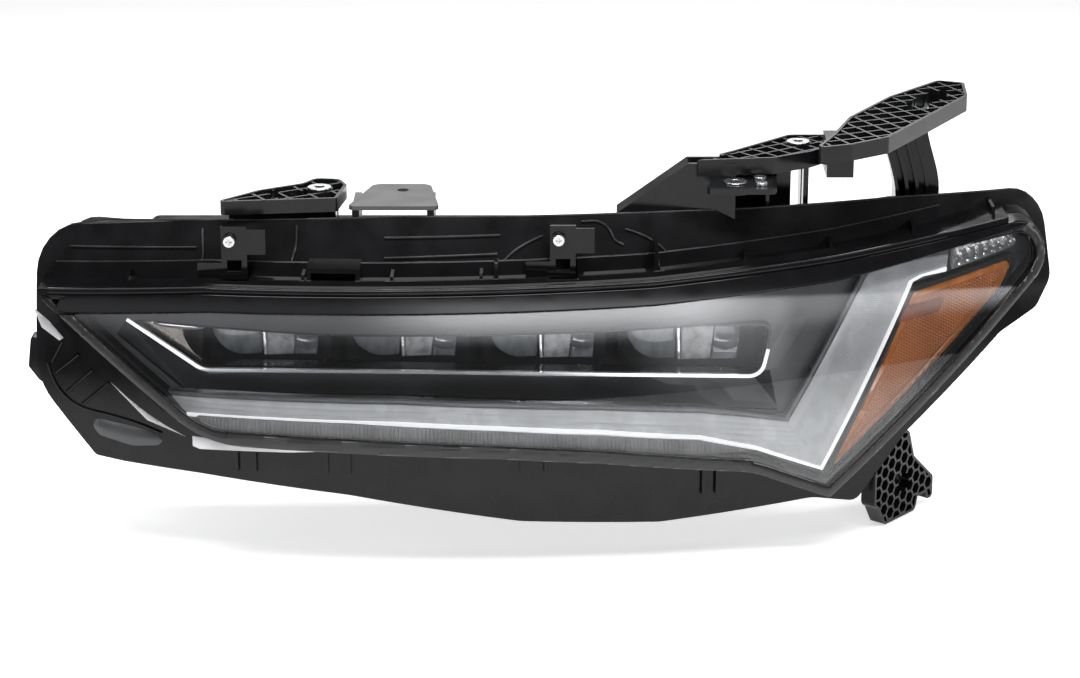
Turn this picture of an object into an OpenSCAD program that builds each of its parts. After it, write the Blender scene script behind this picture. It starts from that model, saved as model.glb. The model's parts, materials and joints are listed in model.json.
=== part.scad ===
// Car headlight assembly: a long, swept front lamp with four projector units on a tilting carrier,
// a light-guide running lamp, a turn strip, an amber side marker and ribbed mounting brackets.
// X runs outboard along the lamp, Y rearward into the car, Z up. Millimetres.
// The origin is the centre of the upper inner mounting hole.

/* [Front face] */
// Radius of the face seen from above
face_plan_r = 920; // [900:5:940]
// Radius of the face's side profile
face_side_r = 380; // [370:5:390]
// Wall of the outer lens
lens_wall = 3; // [2.5:0.1:3.2]
// Depth of the lens's skirt behind its outer surface
skirt_depth = 18; // [17:0.5:19]

/* [Housing] */
// Wall of the housing
housing_wall = 3; // [2.5:0.1:3.5]
// Depth of the housing's tub behind the face
tub_depth = 103; // [100:1:106]
// Rear face of the housing's back box
rear_y = 185; // [184:0.5:188]

/* [Projector units] */
// Spacing of the projector units
unit_pitch = 98.5; // [97:0.5:99]
// Front of the projector units
unit_y = 86; // [84:0.5:88]
// Height of the lenses in the projector units
unit_h = 38; // [34:1:40]
// Number of cooling fins on each heat sink
fin_count = 11; // [7:1:13]

/* [Aim] */
// Height of the tilt axis
pivot_z = -2; // [-4:1:0]
// Depth of the tilt axis
pivot_y = 128; // [127:0.5:129]
// Drop from the tilt axis to the aim socket
aim_arm = 88; // [86:1:90]
// Radius of the ball studs
ball_r = 6; // [5.5:0.1:6.2]
// Radius of the aim screw's thread
screw_r = 3; // [2.5:0.1:3]

/* [Mounts] */
// Radius of the main bracket holes
bolt_r = 3.4; // [3.2:0.1:3.6]
// Outer radius of the bushes in the bracket holes
bush_r = 6; // [5:0.1:6.5]

/* [Hidden] */
face_x = 250;                    // plan centre of the face
face_z = -130;                   // height of the side profile's centre
origin = [193, 117, 54];         // upper inner mounting hole, in the layout's coordinates
gap = 0.3;                       // clearance between separate pieces
units = [0 : 3];
unit_x0 = 115.5;                 // inboard edge of the first unit
unit_drop = 1.2;                 // each unit hangs this much lower than the one inboard of it
screw_rows = [-75, -14.5];       // heights of the carrier's screw rows
aim_x = 470;
pivot_xs = [140, aim_x];
aim_z = pivot_z - aim_arm;
side_r = face_side_r;
profile_r = face_plan_r - side_r;
back = 400;                      // longer than any piece is deep
sides = 200;                     // facets of the widest sweeps
tub_end_y = 238;                 // the tub's flat end where the lamp wraps round the wing
wall = housing_wall;

// ---- Outlines, as [x, z, corner radius] ----------------------------------------------------

lens_outline = [
  [-2, -7, 2], [120, 1, 0], [430, 3, 0], [560, 9, 0], [762, 25, 23],
  [557, -158, 3], [500, -131.5, 60], [392, -116.5, 0], [322, -110.3, 0], [220, -105.5, 0],
  [118, -101.5, 80]
];
housing_outline = [
  [-9, 27, 34], [109, 37, 0], [250, 42, 0], [430, 40, 0], [612, 35, 0], [724, 27, 30],
  [731, -36, 16], [719, -55, 10], [690, -68, 20], [617, -131, 0], [581, -180, 8], [548, -172, 30],
  [436, -179, 60], [336, -172, 60], [215, -150, 80], [108, -137, 0], [54, -132, 0], [33, -129, 6],
  [-9, -78, 50]
];
tub_outline = [
  [1, 16, 26], [640, 16, 0], [717, 12, 40], [710.5, -56, 27], [684, -66, 18], [611, -129, 0],
  [577, -172, 8], [548, -166, 30], [436, -173, 60], [336, -166, 60], [215, -144, 80], [108, -131, 0],
  [54, -126, 0], [36, -124, 6], [-2, -76, 50]
];
box_outline = [[62, 15, 8], [500, 15, 8], [500, -128, 10], [62, -112, 10]];
trough_outline = [[60, -26, 3], [200, -31, 40], [514, -32, 6], [508, -70.5, 12], [112, -63.5, 18]];
drl_outline = [
  [88, -70, 1], [253, -71.3, 0], [392, -78.8, 0], [462, -85.6, 60], [524, -98, 6], [570, -21, 0],
  [588, 1, 12], [646, 5, 1], [643, -11, 1], [622, -12, 8], [614, -20, 4], [553, -143, 5],
  [506, -122, 90], [463, -109.2, 0], [392, -100.4, 0], [322, -95, 0], [253, -90.8, 0], [105, -87.2, 1]
];
drl_lower_side = [
  [90, -83, 0], [253, -86.5, 0], [392, -96, 0], [463, -104.5, 0], [506, -115, 0], [547, -131, 0],
  [608, -16, 0], [618, -8, 0], [644, -7, 0], [660, -20, 0], [570, -170, 0], [90, -130, 0]
];
turn_outline = [
  [110, -84.5, 1], [220, -87.1, 0], [322, -93.2, 0], [392, -99.3, 0], [462, -107.3, 0], [504, -119.6, 1],
  [462, -117.8, 0], [392, -110.2, 0], [322, -103.7, 0], [220, -98, 0], [142, -97, 20], [116, -91, 10]
];
corner_outline = [[648, 6, 1], [690, 9, 8], [702, 0, 3], [647, -10, 1]];
marker_outline = [[618.5, -22, 2], [697, -9, 4], [686, -27, 6], [559, -141, 1]];
marker_tray_outline = [[617, -18.5, 2], [702, -5.5, 5], [689, -29, 7], [556.5, -144.5, 1]];

// Plan outlines of the brackets, as [x, y, corner radius]
inner_plate = [
  [121, 80, 3], [150, 112, 4], [180, 131, 6], [188, 145, 7], [206, 143, 8], [212, 126, 4], [207, 90, 3]
];
tab_plate = [[214, 90, 4], [230, 151, 8], [271, 151, 8], [279, 90, 4]];
outer_step = [
  [452, 104, 3], [489, 140, 4], [532, 186, 8], [566, 186, 8], [580, 160, 3], [553, 146, 3], [544, 136, 3],
  [516, 118, 4], [462, 111, 4]
];
outer_wing = [
  [540, 60, 4], [556, 100, 8], [572, 150, 6], [608, 214, 10], [650, 266, 4], [669, 258, 4], [666, 217, 8],
  [627, 148, 6], [594, 91, 6], [566, 70, 4]
];
wing_slot = [[614, 188, 3], [640, 230, 3], [654, 236, 3], [650, 214, 3], [628, 182, 3]];

// ---- Helpers -------------------------------------------------------------------------------

function flat(p) = [p[0], p[1]];
function unit(v) = v / norm(v);
function round_corner(a, b, c, r, steps = 6) =
  r == 0 ? [b] :
  let(u = unit(a - b), w = unit(c - b), half = acos(u * w) / 2, centre = b + unit(u + w) * r / sin(half),
      start = b + u * r / tan(half) - centre, end = b + w * r / tan(half) - centre)
  [for (i = [0 : steps]) let(t = i / steps, turn = 180 - 2 * half)
    centre + (sin((1 - t) * turn) * start + sin(t * turn) * end) / sin(turn)];
function rounded(v) = let(n = len(v)) [
  for (i = [0 : n - 1])
    for (p = round_corner(flat(v[(i + n - 1) % n]), flat(v[i]), flat(v[(i + 1) % n]), v[i][2])) p
];

// Distance rearward of the layer at depth d behind the face, at place x, z
function layer_r(z, d) = profile_r + sqrt(pow(side_r - d, 2) - pow(z - face_z, 2));
function layer_y(x, z, d) = face_plan_r - sqrt(pow(layer_r(z, d), 2) - pow(x - face_x, 2));

module in_frame() translate(-origin) children();

// Side profile of everything deeper than d behind the face
module profile(d) intersection() {
  translate([profile_r, face_z]) circle(r = side_r - d, $fn = sides);
  translate([face_plan_r - 190, -240]) square([200, 340]);
}

module sweep() translate([face_x, face_plan_r, 0]) rotate([0, 0, -112])
  rotate_extrude(angle = 61, $fn = sides) children();

// Shell between two depths behind the face
module layer(d0, d1) sweep() difference() {
  profile(d0);
  profile(d1);
}

// Prism of a front-view outline, from y0 rearward to y1
module front(outline, y0 = -30, y1 = back, grow = 0) translate([0, y1, 0]) rotate([90, 0, 0])
  linear_extrude(y1 - y0) offset(delta = grow) polygon(rounded(outline));

module front_ring(outline, outer, inner, y0 = -30, y1 = back) translate([0, y1, 0]) rotate([90, 0, 0])
  linear_extrude(y1 - y0) difference() {
    offset(delta = outer) polygon(rounded(outline));
    offset(delta = inner) polygon(rounded(outline));
  }

module cut_to(outline, grow = 0) intersection() {
  children();
  front(outline, grow = grow);
}

// Band along the lens's top edge, between two heights above it
module above_lens(h0, h1, x0 = -2, x1 = 690) intersection() {
  translate([0, back, 0]) rotate([90, 0, 0]) linear_extrude(back + 30) polygon(concat(
    [for (i = [0 : 4]) flat(lens_outline[i]) + [0, h0]],
    [for (i = [4 : -1 : 0]) flat(lens_outline[i]) + [0, h1]]
  ));
  translate([x0, -30, -40]) cube([x1 - x0, back, 120]);
}

module plan(outline, z0, z1, grow = 0) translate([0, 0, z0]) linear_extrude(z1 - z0)
  offset(delta = grow) polygon(rounded(outline));

module plan_rim(outline, z0, z1, width) translate([0, 0, z0]) linear_extrude(z1 - z0) difference() {
  polygon(rounded(outline));
  offset(delta = -width) polygon(rounded(outline));
}

// Crossing ribs inside a plan outline
module plan_ribs(outline, z0, z1, turn, pitch, width = 1.8) translate([0, 0, z0])
  linear_extrude(z1 - z0) intersection() {
    polygon(rounded(outline));
    translate(flat(outline[0])) rotate(turn) for (i = [-14 : 14]) {
      translate([i * pitch, 0]) square([width, 600], center = true);
      translate([0, i * pitch]) square([600, width], center = true);
    }
  }

// Cylinder along +Y
module rod(x, y0, y1, z, r) translate([x, y1, z]) rotate([90, 0, 0]) cylinder(r = r, h = y1 - y0, $fn = 48);

module pole(x, y, z0, z1, r) translate([x, y, z0]) cylinder(r = r, h = z1 - z0, $fn = 48);

module block(lo, hi) translate(lo) cube(hi - lo);

// Screw with a cross recess whose head's face points along -Y
module front_screw(x, y, z, head_r, shank_r, length) difference() {
  union() {
    rod(x, y, y + 2.4, z, head_r);
    rod(x, y + 2.4, y + length, z, shank_r);
  }
  for (turn = [0, 90]) translate([x, y, z]) rotate([0, turn, 0]) cube([0.9, 3, head_r * 1.1], center = true);
}

// ---- Housing and lens ----------------------------------------------------------------------

cover_outline = [[96, -20, 10], [206, -20, 10], [206, -84, 10], [96, -84, 10]];
driver_outline = [[312, 2, 4], [432, 2, 4], [432, -76, 4], [312, -76, 4]];
connector_outline = [[236, -30, 3], [282, -30, 3], [282, -56, 3], [236, -56, 3]];
cover_screw_places = [for (x = [90, 212], z = [-14, -90]) [x, z]];
driver_screw_places = [for (x = [306, 438], z = [-6, -70]) [x, z]];
vent_places = [[252, -8], [482, -40]];
clip_places = [[137, 20], [366, 21]];

module tub() difference() {
  union() {
    cut_to(housing_outline) layer(38, 38 + wall);
    intersection() {
      layer(38, tub_depth);
      front(tub_outline, -30, tub_end_y);
    }
    intersection() {
      front(box_outline, 100, rear_y);
      layer(tub_depth - 6, 186);
    }
  }
  intersection() {
    front(tub_outline, -30, tub_end_y - wall, grow = -wall);
    layer(38 + wall, tub_depth - wall);
  }
  front(box_outline, 96, rear_y - wall, grow = -wall);
  cut_to(lens_outline, -7) layer(20, 38 + wall + 1);
}

module housing_ring() difference() {
  cut_to(lens_outline, -gap) layer(22, 40);
  front(lens_outline, grow = -7);
}

// Snap ribs on the flange under the lens
module belly_ribs() intersection() {
  layer(34.5, 39);
  for (x = [134, 147, 198, 214, 266, 283, 336, 353, 466, 476])
    block([x, -30, x < 400 ? -134 : -160], [x + 2.6, 150, x < 400 ? -112 : -138]);
}

module housing() in_frame() color("#17181a") difference() {
  union() {
    difference() {
      tub();
      front(cover_outline, rear_y - 10, rear_y + 1);
    }
    housing_ring();
    belly_ribs();
    for (x = pivot_xs) rod(x, rear_y - 25, rear_y - 1, pivot_z, 9);
    rod(aim_x, rear_y - 12, rear_y + 3, aim_z, 11);
    for (p = cover_screw_places) rod(p[0], rear_y - 1, rear_y + 4, p[1], 5);
    for (p = driver_screw_places) rod(p[0], rear_y - 1, rear_y + 2, p[1], 5);
  }
  for (x = pivot_xs) rod(x, rear_y - 30, rear_y - 3, pivot_z, 4.05);
  rod(aim_x, rear_y - 20, rear_y + 10, aim_z, 8.05);
  for (p = cover_screw_places) rod(p[0], rear_y - 2, rear_y + 10, p[1], 1.9);
  for (p = driver_screw_places) rod(p[0], rear_y - 4.2, rear_y + 10, p[1], 1.9);
  for (p = vent_places) rod(p[0], rear_y - 10, rear_y + 1, p[1], 5.05);
  front(connector_outline, rear_y - 10, rear_y + 1, grow = gap);
  front(driver_outline, rear_y - 10, rear_y + 1, grow = -8);
}

// The clear window lies inside a dark rim that is deeper along the top, up to the outer tip,
// and along the bottom
rim_top = [12.5, 12.5, 12.5, 12.5, 1];
rim_low = [8.6, 9.3, 9.3, 10, 10];
module window_2d() difference() {
  offset(delta = -7) polygon(rounded(lens_outline));
  polygon(concat(
    [for (i = [0 : 4]) flat(lens_outline[i]) - [0, rim_top[i]]],
    [for (i = [4 : -1 : 0]) flat(lens_outline[i]) + [0, 20]]
  ));
  polygon(concat(
    [for (i = [0 : 4]) flat(lens_outline[i + 6]) + [0, rim_low[i]]],
    [for (i = [4 : -1 : 0]) flat(lens_outline[i + 6]) - [0, 20]]
  ));
}

module window(grow = 0) translate([0, back, 0]) rotate([90, 0, 0]) linear_extrude(back + 30)
  offset(delta = grow) window_2d();

module outer_lens() in_frame() color("#dfe6ea", 0.3) intersection() {
  layer(0, lens_wall);
  window();
}

module lens_frame() in_frame() color("#1c1c1e") {
  difference() {
    cut_to(lens_outline) layer(0, lens_wall);
    window(0.02);
  }
  intersection() {
    layer(lens_wall - 0.01, skirt_depth);
    front_ring(lens_outline, -0.6, -3.6);
  }
}

module lens_seal() in_frame() color("#2a2a2c") intersection() {
  layer(skirt_depth + 0.1, 21.9);
  front_ring(lens_outline, -0.8, -5);
}

// Ledge above the lens: front lip, channel floor, and two ribs that catch the bumper cover
module top_cowl() in_frame() color("#0c0c0e") difference() {
  union() {
    intersection() {
      layer(0.2, 3);
      above_lens(0.6, 4);
    }
    intersection() {
      layer(2.9, 37.7);
      above_lens(0.6, 2.8);
    }
    intersection() {
      layer(33, 35);
      above_lens(2.7, 12, 4, 640);
    }
    intersection() {
      layer(13, 15);
      above_lens(2.7, 6, 60, 560);
    }
    intersection() {
      layer(16, 37.7);
      above_lens(2.7, 8);
      for (x = [60 : 62 : 680])
        if (min([for (p = clip_places) abs(x - p[0])]) > 30) block([x, -30, -20], [x + 2.2, back, 60]);
    }
    intersection() {
      layer(15, 37.7);
      union() {
        block([188, 0, 3.4], [191, 200, 12]);
        block([222, 0, 3.6], [225, 200, 12]);
        block([188, 0, 12], [225, 200, 15]);
        block([318, 0, 4.2], [321, 200, 15]);
        block([430, 0, 4.6], [433, 200, 24]);
      }
    }
  }
  for (p = clip_places) translate([p[0], 0, p[1]]) {
    block([-10, 54, -26], [10, 82, 40]);
    block([-26.4, 56.6, -16.4], [22.4, 59.4, 20.4]);
    block([-11, 36, -14.4], [11, 60, 24]);
  }
}

// Posts that hold the bumper cover, each with a screw seat in its upright face
module bumper_clips() in_frame() color("#101012") for (p = clip_places) translate([p[0], 0, p[1]])
  difference() {
    union() {
      block([-9, 57, -14], [9, 60, 22]);
      block([-9, 59.9, -14], [-6.5, 73, 16]);
      block([6.5, 59.9, -14], [9, 73, 16]);
      block([-9, 57, -16], [9, 73, -13.9]);
      block([-9, 59.9, 14], [9, 73, 16.1]);
      rod(-3, 54.5, 57.1, 12.5, 5);
      block([9.1 - 0.2, 57, 2], [22, 59, 20]);
      block([-26, 57, -16], [-8.9, 59, -4]);
    }
    rod(-3, 50, 75, 12.5, 2.05);
    block([-5, 50, -10], [5, 61, -2]);
    translate([-p[0], 0, -p[1]]) cut_to(housing_outline, 1) layer(37.6, 41.4);
  }

module clip_screws() in_frame() color("#b9bbbd") for (p = clip_places)
  front_screw(p[0] - 3, 52, p[1] + 12.5, 4, 2, 14);

// ---- Inner trim ----------------------------------------------------------------------------

// Lip along the trough's inboard and lower edges, and the foot of the ramp that climbs to it
function lip_y(x) = 57 + 7 * max(0, x - 112) / 396;
lip_edge = concat(
  [[60, -26]],
  round_corner([60, -26], [112, -63.5], [508, -70.5], 18),
  [for (x = [160 : 38 : 502]) [x, -63.5 - 7 * (x - 112) / 396]]
);
function ramp_foot_z(x) = x < 253 ? -70.4 : x < 392 ? -70.4 - (x - 253) * 0.057 : -78.3 - (x - 392) * 0.125;
function ramp_foot_x(x) = x + 18 * (x - 112) / 390;
function ramp_foot(p) = p[1] > -50 ? p + [-7, -9] : p[0] < 130 ? [p[0] - 6, min(p[1] - 7, -70.4)] :
  [ramp_foot_x(p[0]), ramp_foot_z(ramp_foot_x(p[0]))];

module bezel() in_frame() color("#2b2c2e") difference() {
  cut_to(lens_outline, -7.6) layer(24, 26.5);
  front(trough_outline, grow = 0.8);
  translate([0, back, 0]) rotate([90, 0, 0]) linear_extrude(back + 30)
    polygon(concat([for (p = lip_edge) ramp_foot(p) + [-0.8, -1.6]], [[512, -62], [60, -26]]));
  front(drl_outline, grow = -3.5);
  front(marker_outline, grow = -3);
  front(corner_outline, grow = -2);
}

function ramp_section(p) = let(
  f = ramp_foot(p),
  foot = [f[0], layer_y(f[0], f[1], 23.9), f[1]],
  lip = [p[0], lip_y(p[0]), p[1]])
  [foot, lip, lip + [0.4, 2.2, -1.2], foot + [0.4, 2.2, -1.2]];

// Closed strip through four-cornered sections
module strip(sections) let(n = len(sections)) polyhedron(
  points = [for (q = sections) each q],
  faces = concat(
    [[0, 1, 2, 3]],
    [for (i = [0 : n - 2], k = [0 : 3]) let(a = 4 * i + k, b = 4 * i + (k + 1) % 4) [b, a, a + 4]],
    [for (i = [0 : n - 2], k = [0 : 3]) let(a = 4 * i + k, b = 4 * i + (k + 1) % 4) [b, a + 4, b + 4]],
    [[4 * n - 1, 4 * n - 2, 4 * n - 3, 4 * n - 4]]
  )
);

module lower_bezel() in_frame() color("#1d1e20") strip([for (p = lip_edge) ramp_section(p)]);

module projector_shroud() in_frame() color("#18191b") intersection() {
  front_ring(trough_outline, 0.5, -1.5, 20, 81.5);
  union() {
    intersection() {
      layer(26.8, 120);
      block([64, 20, -36], [530, 82, 0]);
    }
    block([50, 67, -90], [530, 82, 0]);
  }
  // clear of the bright bead's ends
  difference() {
    block([50, 20, -90], [530, 82, 0]);
    block([55, 50, -60], [80, 60.5, -26.3]);
    block([500, 50, -56], [520, 67, -36.5]);
  }
}

// Smoky concave end of the trough
module trough_reflector() in_frame() color("#6d6862") difference() {
  front(trough_outline, 66, 80.5, grow = -1.8);
  block([111, 0, -100], [600, 100, 0]);
  translate([128, 40, -32]) sphere(r = 40, $fn = 96);
}

chrome_edge = concat(
  [for (p = lip_edge) if (p[0] < 490) p],
  round_corner([470, -69.8], [508, -70.5], [513, -40], 12),
  [[512, -50]]
);
// Bright bead that stands on the lip, its width turned into the trough
module chrome_strip() in_frame() color("#e6e7e8") let(n = len(chrome_edge)) strip([
  for (i = [0 : n - 1]) let(
    p = chrome_edge[i], t = unit(chrome_edge[min(i + 1, n - 1)] - chrome_edge[max(i - 1, 0)]),
    inward = [-t[1], 0, t[0]], at = [p[0], lip_y(p[0]), p[1]])
  [at + inward * 0.1, at + inward * 1.8, at + inward * 1.8 + [0, 2.2, 0], at + inward * 0.1 + [0, 2.2, 0]]
]);

// ---- Signal lamps --------------------------------------------------------------------------

module signature_2d() intersection() {
  difference() {
    polygon(rounded(drl_outline));
    offset(delta = -3) polygon(rounded(drl_outline));
  }
  polygon(rounded(drl_lower_side));
}

module signature_prism(grow = 0) translate([0, back, 0]) rotate([90, 0, 0]) linear_extrude(back + 30)
  offset(delta = grow) signature_2d();

module drl_light_guide() in_frame() color("#e9ecee", 0.8) cut_to(lens_outline, -5.4) difference() {
  cut_to(drl_outline) layer(14, 19.5);
  signature_prism(0.2);
}

module signature_line() in_frame() color("#ffffff") cut_to(lens_outline, -5.4) intersection() {
  layer(13, 19);
  signature_prism();
}

module drl_reflector() in_frame() color("#c9cccf") cut_to(lens_outline, -7.4) difference() {
  cut_to(drl_outline, -0.3) layer(20, 23.7);
  cut_to(drl_outline, -2.3) layer(19, 22);
}

module turn_lens() in_frame() color("#3a3b3c") cut_to(lens_outline, -4.2) cut_to(turn_outline) layer(8, 10);

module turn_reflector() in_frame() color("#9a9c9e") cut_to(lens_outline, -4.4)
  cut_to(turn_outline, -0.3) layer(10.1, 11.7);

module corner_reflector() in_frame() color("#f2f3f4") difference() {
  cut_to(corner_outline) layer(14, 23.7);
  cut_to(corner_outline, -1.6) layer(12, 21);
}

module side_marker_reflex() in_frame() color("#c8702a") cut_to(marker_outline) layer(14, 17);

module side_marker_tray() in_frame() color("#202123") difference() {
  cut_to(marker_tray_outline) layer(15, 23.7);
  cut_to(marker_outline, gap) layer(13, 22);
}

led_places = concat(
  [for (x = [130 : 30 : 460]) [x, -80.5 - max(0, x - 253) * 0.075]],
  [for (t = [0 : 0.25 : 1]) [560 + 38 * t, -100 + 90 * t]],
  [[668, 0], [640, -40], [655, -32]]
);

module signal_boards() in_frame() color("#1f5a38") cut_to(lens_outline, -7.4) {
  cut_to(drl_outline, -5) layer(30, 31.6);
  cut_to([[618, -26, 2], [690, -13, 3], [664, -44, 3], [632, -70, 2]]) layer(30, 31.6);
  cut_to([[654, 2, 1], [684, 3, 3], [686, -3, 3], [654, -5, 1]]) layer(30, 31.6);
}

module signal_leds() in_frame() color("#f4efb8") for (p = led_places)
  translate([p[0], layer_y(p[0], p[1], 30) - 2.1, p[1]]) cube([3, 1.6, 3], center = true);

// ---- Rear of the housing -------------------------------------------------------------------

module pivot_studs() in_frame() color("#c9cbcd") for (x = pivot_xs) {
  rod(x, pivot_y, rear_y - 4, pivot_z, 3.2);
  rod(x, rear_y - 25, rear_y - 3.2, pivot_z, 4);
  rod(x, rear_y - 29, rear_y - 25, pivot_z, 7);
  translate([x, pivot_y, pivot_z]) sphere(r = ball_r, $fn = 64);
}

module aim_bushing() in_frame() color("#d8d2bd") difference() {
  union() {
    rod(aim_x, rear_y - 12, rear_y + 3, aim_z, 8);
    rod(aim_x, rear_y + 3, rear_y + 5, aim_z, 11);
  }
  rod(aim_x, rear_y - 20, rear_y + 10, aim_z, 4.05);
}

module rear_cover() in_frame() color("#1b1c1e") difference() {
  union() {
    front(cover_outline, rear_y + 1.8, rear_y + 5, grow = 8);
    front(cover_outline, rear_y - 4, rear_y + 2, grow = -gap);
    for (p = cover_screw_places) rod(p[0], rear_y + 4.2, rear_y + 7, p[1], 7);
    for (i = [0 : 4]) block([108 + 20 * i, rear_y + 4.9, -78], [110 + 20 * i, rear_y + 7, -26]);
    front_ring([[110, -30, 10], [192, -30, 10], [192, -70, 10], [110, -70, 10]], 0, -2.5, rear_y + 4.9,
      rear_y + 9);
  }
  front(cover_outline, rear_y - 6, rear_y + 0.5, grow = -2.5);
  for (p = cover_screw_places) rod(p[0], rear_y - 2, rear_y + 12, p[1], 2.05);
  for (p = cover_screw_places) rod(p[0], rear_y, rear_y + 4.1, p[1], 5.3);
}

module rear_cover_seal() in_frame() color("#c2562e")
  front_ring(cover_outline, 4.5, 1.2, rear_y + 0.05, rear_y + 1.75);

// Screw whose head's face points along +Y, with a cross recess
module rear_screw(x, y, z) difference() {
  union() {
    rod(x, y, y + 2.2, z, 3.6);
    rod(x, y - 9, y + 0.1, z, 1.85);
  }
  for (turn = [0, 90]) translate([x, y + 2.2, z]) rotate([0, turn, 0]) cube([0.9, 2.6, 4], center = true);
}

module rear_cover_screws() in_frame() color("#a9abad") for (p = cover_screw_places)
  rear_screw(p[0], rear_y + 7.05, p[1]);

module led_driver() in_frame() color("#a7aaac") difference() {
  union() {
    front(driver_outline, rear_y + 0.2, rear_y + 14);
    front(driver_outline, rear_y - 6, rear_y + 0.3, grow = -9);
    for (p = driver_screw_places) {
      rod(p[0], rear_y + 2.1, rear_y + 5, p[1], 5);
      block([min(p[0], 372 + sign(p[0] - 372) * 58), rear_y + 2.1, p[1] - 5],
        [max(p[0], 372 + sign(p[0] - 372) * 58), rear_y + 5, p[1] + 5]);
    }
    for (i = [0 : 13]) block([318 + 8 * i, rear_y + 13.9, -70], [320.5 + 8 * i, rear_y + 21, -4]);
  }
  for (p = driver_screw_places) rod(p[0], rear_y, rear_y + 10, p[1], 2.05);
}

module driver_screws() in_frame() color("#8f9193") for (p = driver_screw_places)
  rear_screw(p[0], rear_y + 5.05, p[1]);

// Inlet for the vehicle's plug, open at the rear
module main_connector() in_frame() color("#26272a") difference() {
  union() {
    front(connector_outline, rear_y - 8, rear_y + 20);
    front(connector_outline, rear_y + 0.05, rear_y + 3, grow = 4);
    block([254, rear_y + 8, -30.2], [264, rear_y + 14, -27]);
  }
  front(connector_outline, rear_y, rear_y + 21, grow = -2.2);
}

module connector_pins() in_frame() color("#c9a63d") for (i = [0 : 6], k = [0, 1])
  rod(243 + 5.3 * i, rear_y + 0.05, rear_y + 12, -38.5 - 9 * k, 0.8);

module vent_caps() in_frame() color("#1a1b1c") for (p = vent_places) difference() {
  union() {
    rod(p[0], rear_y + 0.1, rear_y + 7, p[1], 10);
    rod(p[0], rear_y - 8, rear_y + 0.2, p[1], 5);
  }
  rod(p[0], rear_y - 9, rear_y + 4, p[1], 3.2);
  for (turn = [0 : 60 : 300]) translate([p[0], rear_y + 3, p[1]]) rotate([0, turn, 0])
    translate([8.5, 0, 0]) cube([5, 3, 3], center = true);
}

module belly_vent() in_frame() color("#ded7bf") difference() {
  union() {
    pole(236, 78, -158, -140, 8);
    pole(236, 78, -161, -157.9, 6);
  }
  front(tub_outline, grow = 0.1);
}

// ---- Brackets ------------------------------------------------------------------------------

inner_top = 54;
step_top = 76;
tub_top = 16.2;                  // just above the tub, where the brackets' walls stand
wing_top = 98;
inner_bolt = [193, 117];
tab_bolt = [251.6, 133.8];
step_bolt = [537, 163];
low_bolt = [488, 103];
inner_screw_xs = [160, 184];
platform_screws = [[506, 95], [506, 110]];

module upper_inner_bracket() in_frame() color("#141517") difference() {
  union() {
    plan(inner_plate, inner_top - 10, inner_top - 8);
    plan_rim(inner_plate, inner_top - 9, inner_top, 2.2);
    plan_ribs(inner_plate, inner_top - 9, inner_top - 0.5, 32, 17);
    pole(inner_bolt[0], inner_bolt[1], inner_top - 10, inner_top, bush_r + 3.5);
    block([130, 97, tub_top], [205, 99.5, inner_top - 9]);
    block([168, 120, tub_top], [206, 122.5, inner_top - 9]);
    block([203, 99, tub_top], [205.5, 121, inner_top - 9]);
  }
  pole(inner_bolt[0], inner_bolt[1], 0, 80, bush_r + 0.05);
  for (x = inner_screw_xs) pole(x, 108, inner_top - 8, 80, 5);
}

// Metal sleeve with a thin collar
module bush(x, y, z0, z1) difference() {
  union() {
    pole(x, y, z0, z1, bush_r);
    pole(x, y, z1, z1 + 1, bush_r + 2.5);
  }
  pole(x, y, z0 - 1, z1 + 3, bolt_r);
}

module upper_inner_bush() in_frame() color("#b4b6b8")
  bush(inner_bolt[0], inner_bolt[1], inner_top - 10, inner_top + 0.05);

module top_tab() in_frame() color("#6a6c6e") difference() {
  union() {
    plan(tab_plate, 45, 48);
    block([217, 97, tub_top], [222, 139, 45.1]);
    block([270, 97, tub_top], [275, 139, 45.1]);
  }
  pole(tab_bolt[0], tab_bolt[1], 0, 80, 4.2);
}

// Foot of the wing: ribs that sway outboard as they go down, joined by a web
leg_low = 33;
leg_high = wing_top - 11;
function leg_x(x, t) = x + 11 * t * t * (3 - 2 * t);
function leg_side(x) = concat(
  [for (t = [0 : 0.125 : 1]) [leg_x(x, t), leg_high - (leg_high - leg_low) * t]],
  [[leg_x(x, 1), tub_top]]
);
function reversed(v) = [for (i = [len(v) - 1 : -1 : 0]) v[i]];
leg_web = [for (p = concat(leg_side(600), reversed(leg_side(633)))) [p[0], p[1], 0]];
module leg_rib(x, y, depth)
  front([for (p = concat(leg_side(x), reversed(leg_side(x + 2.4)))) [p[0], p[1], 0]], y, y + depth);

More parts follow.
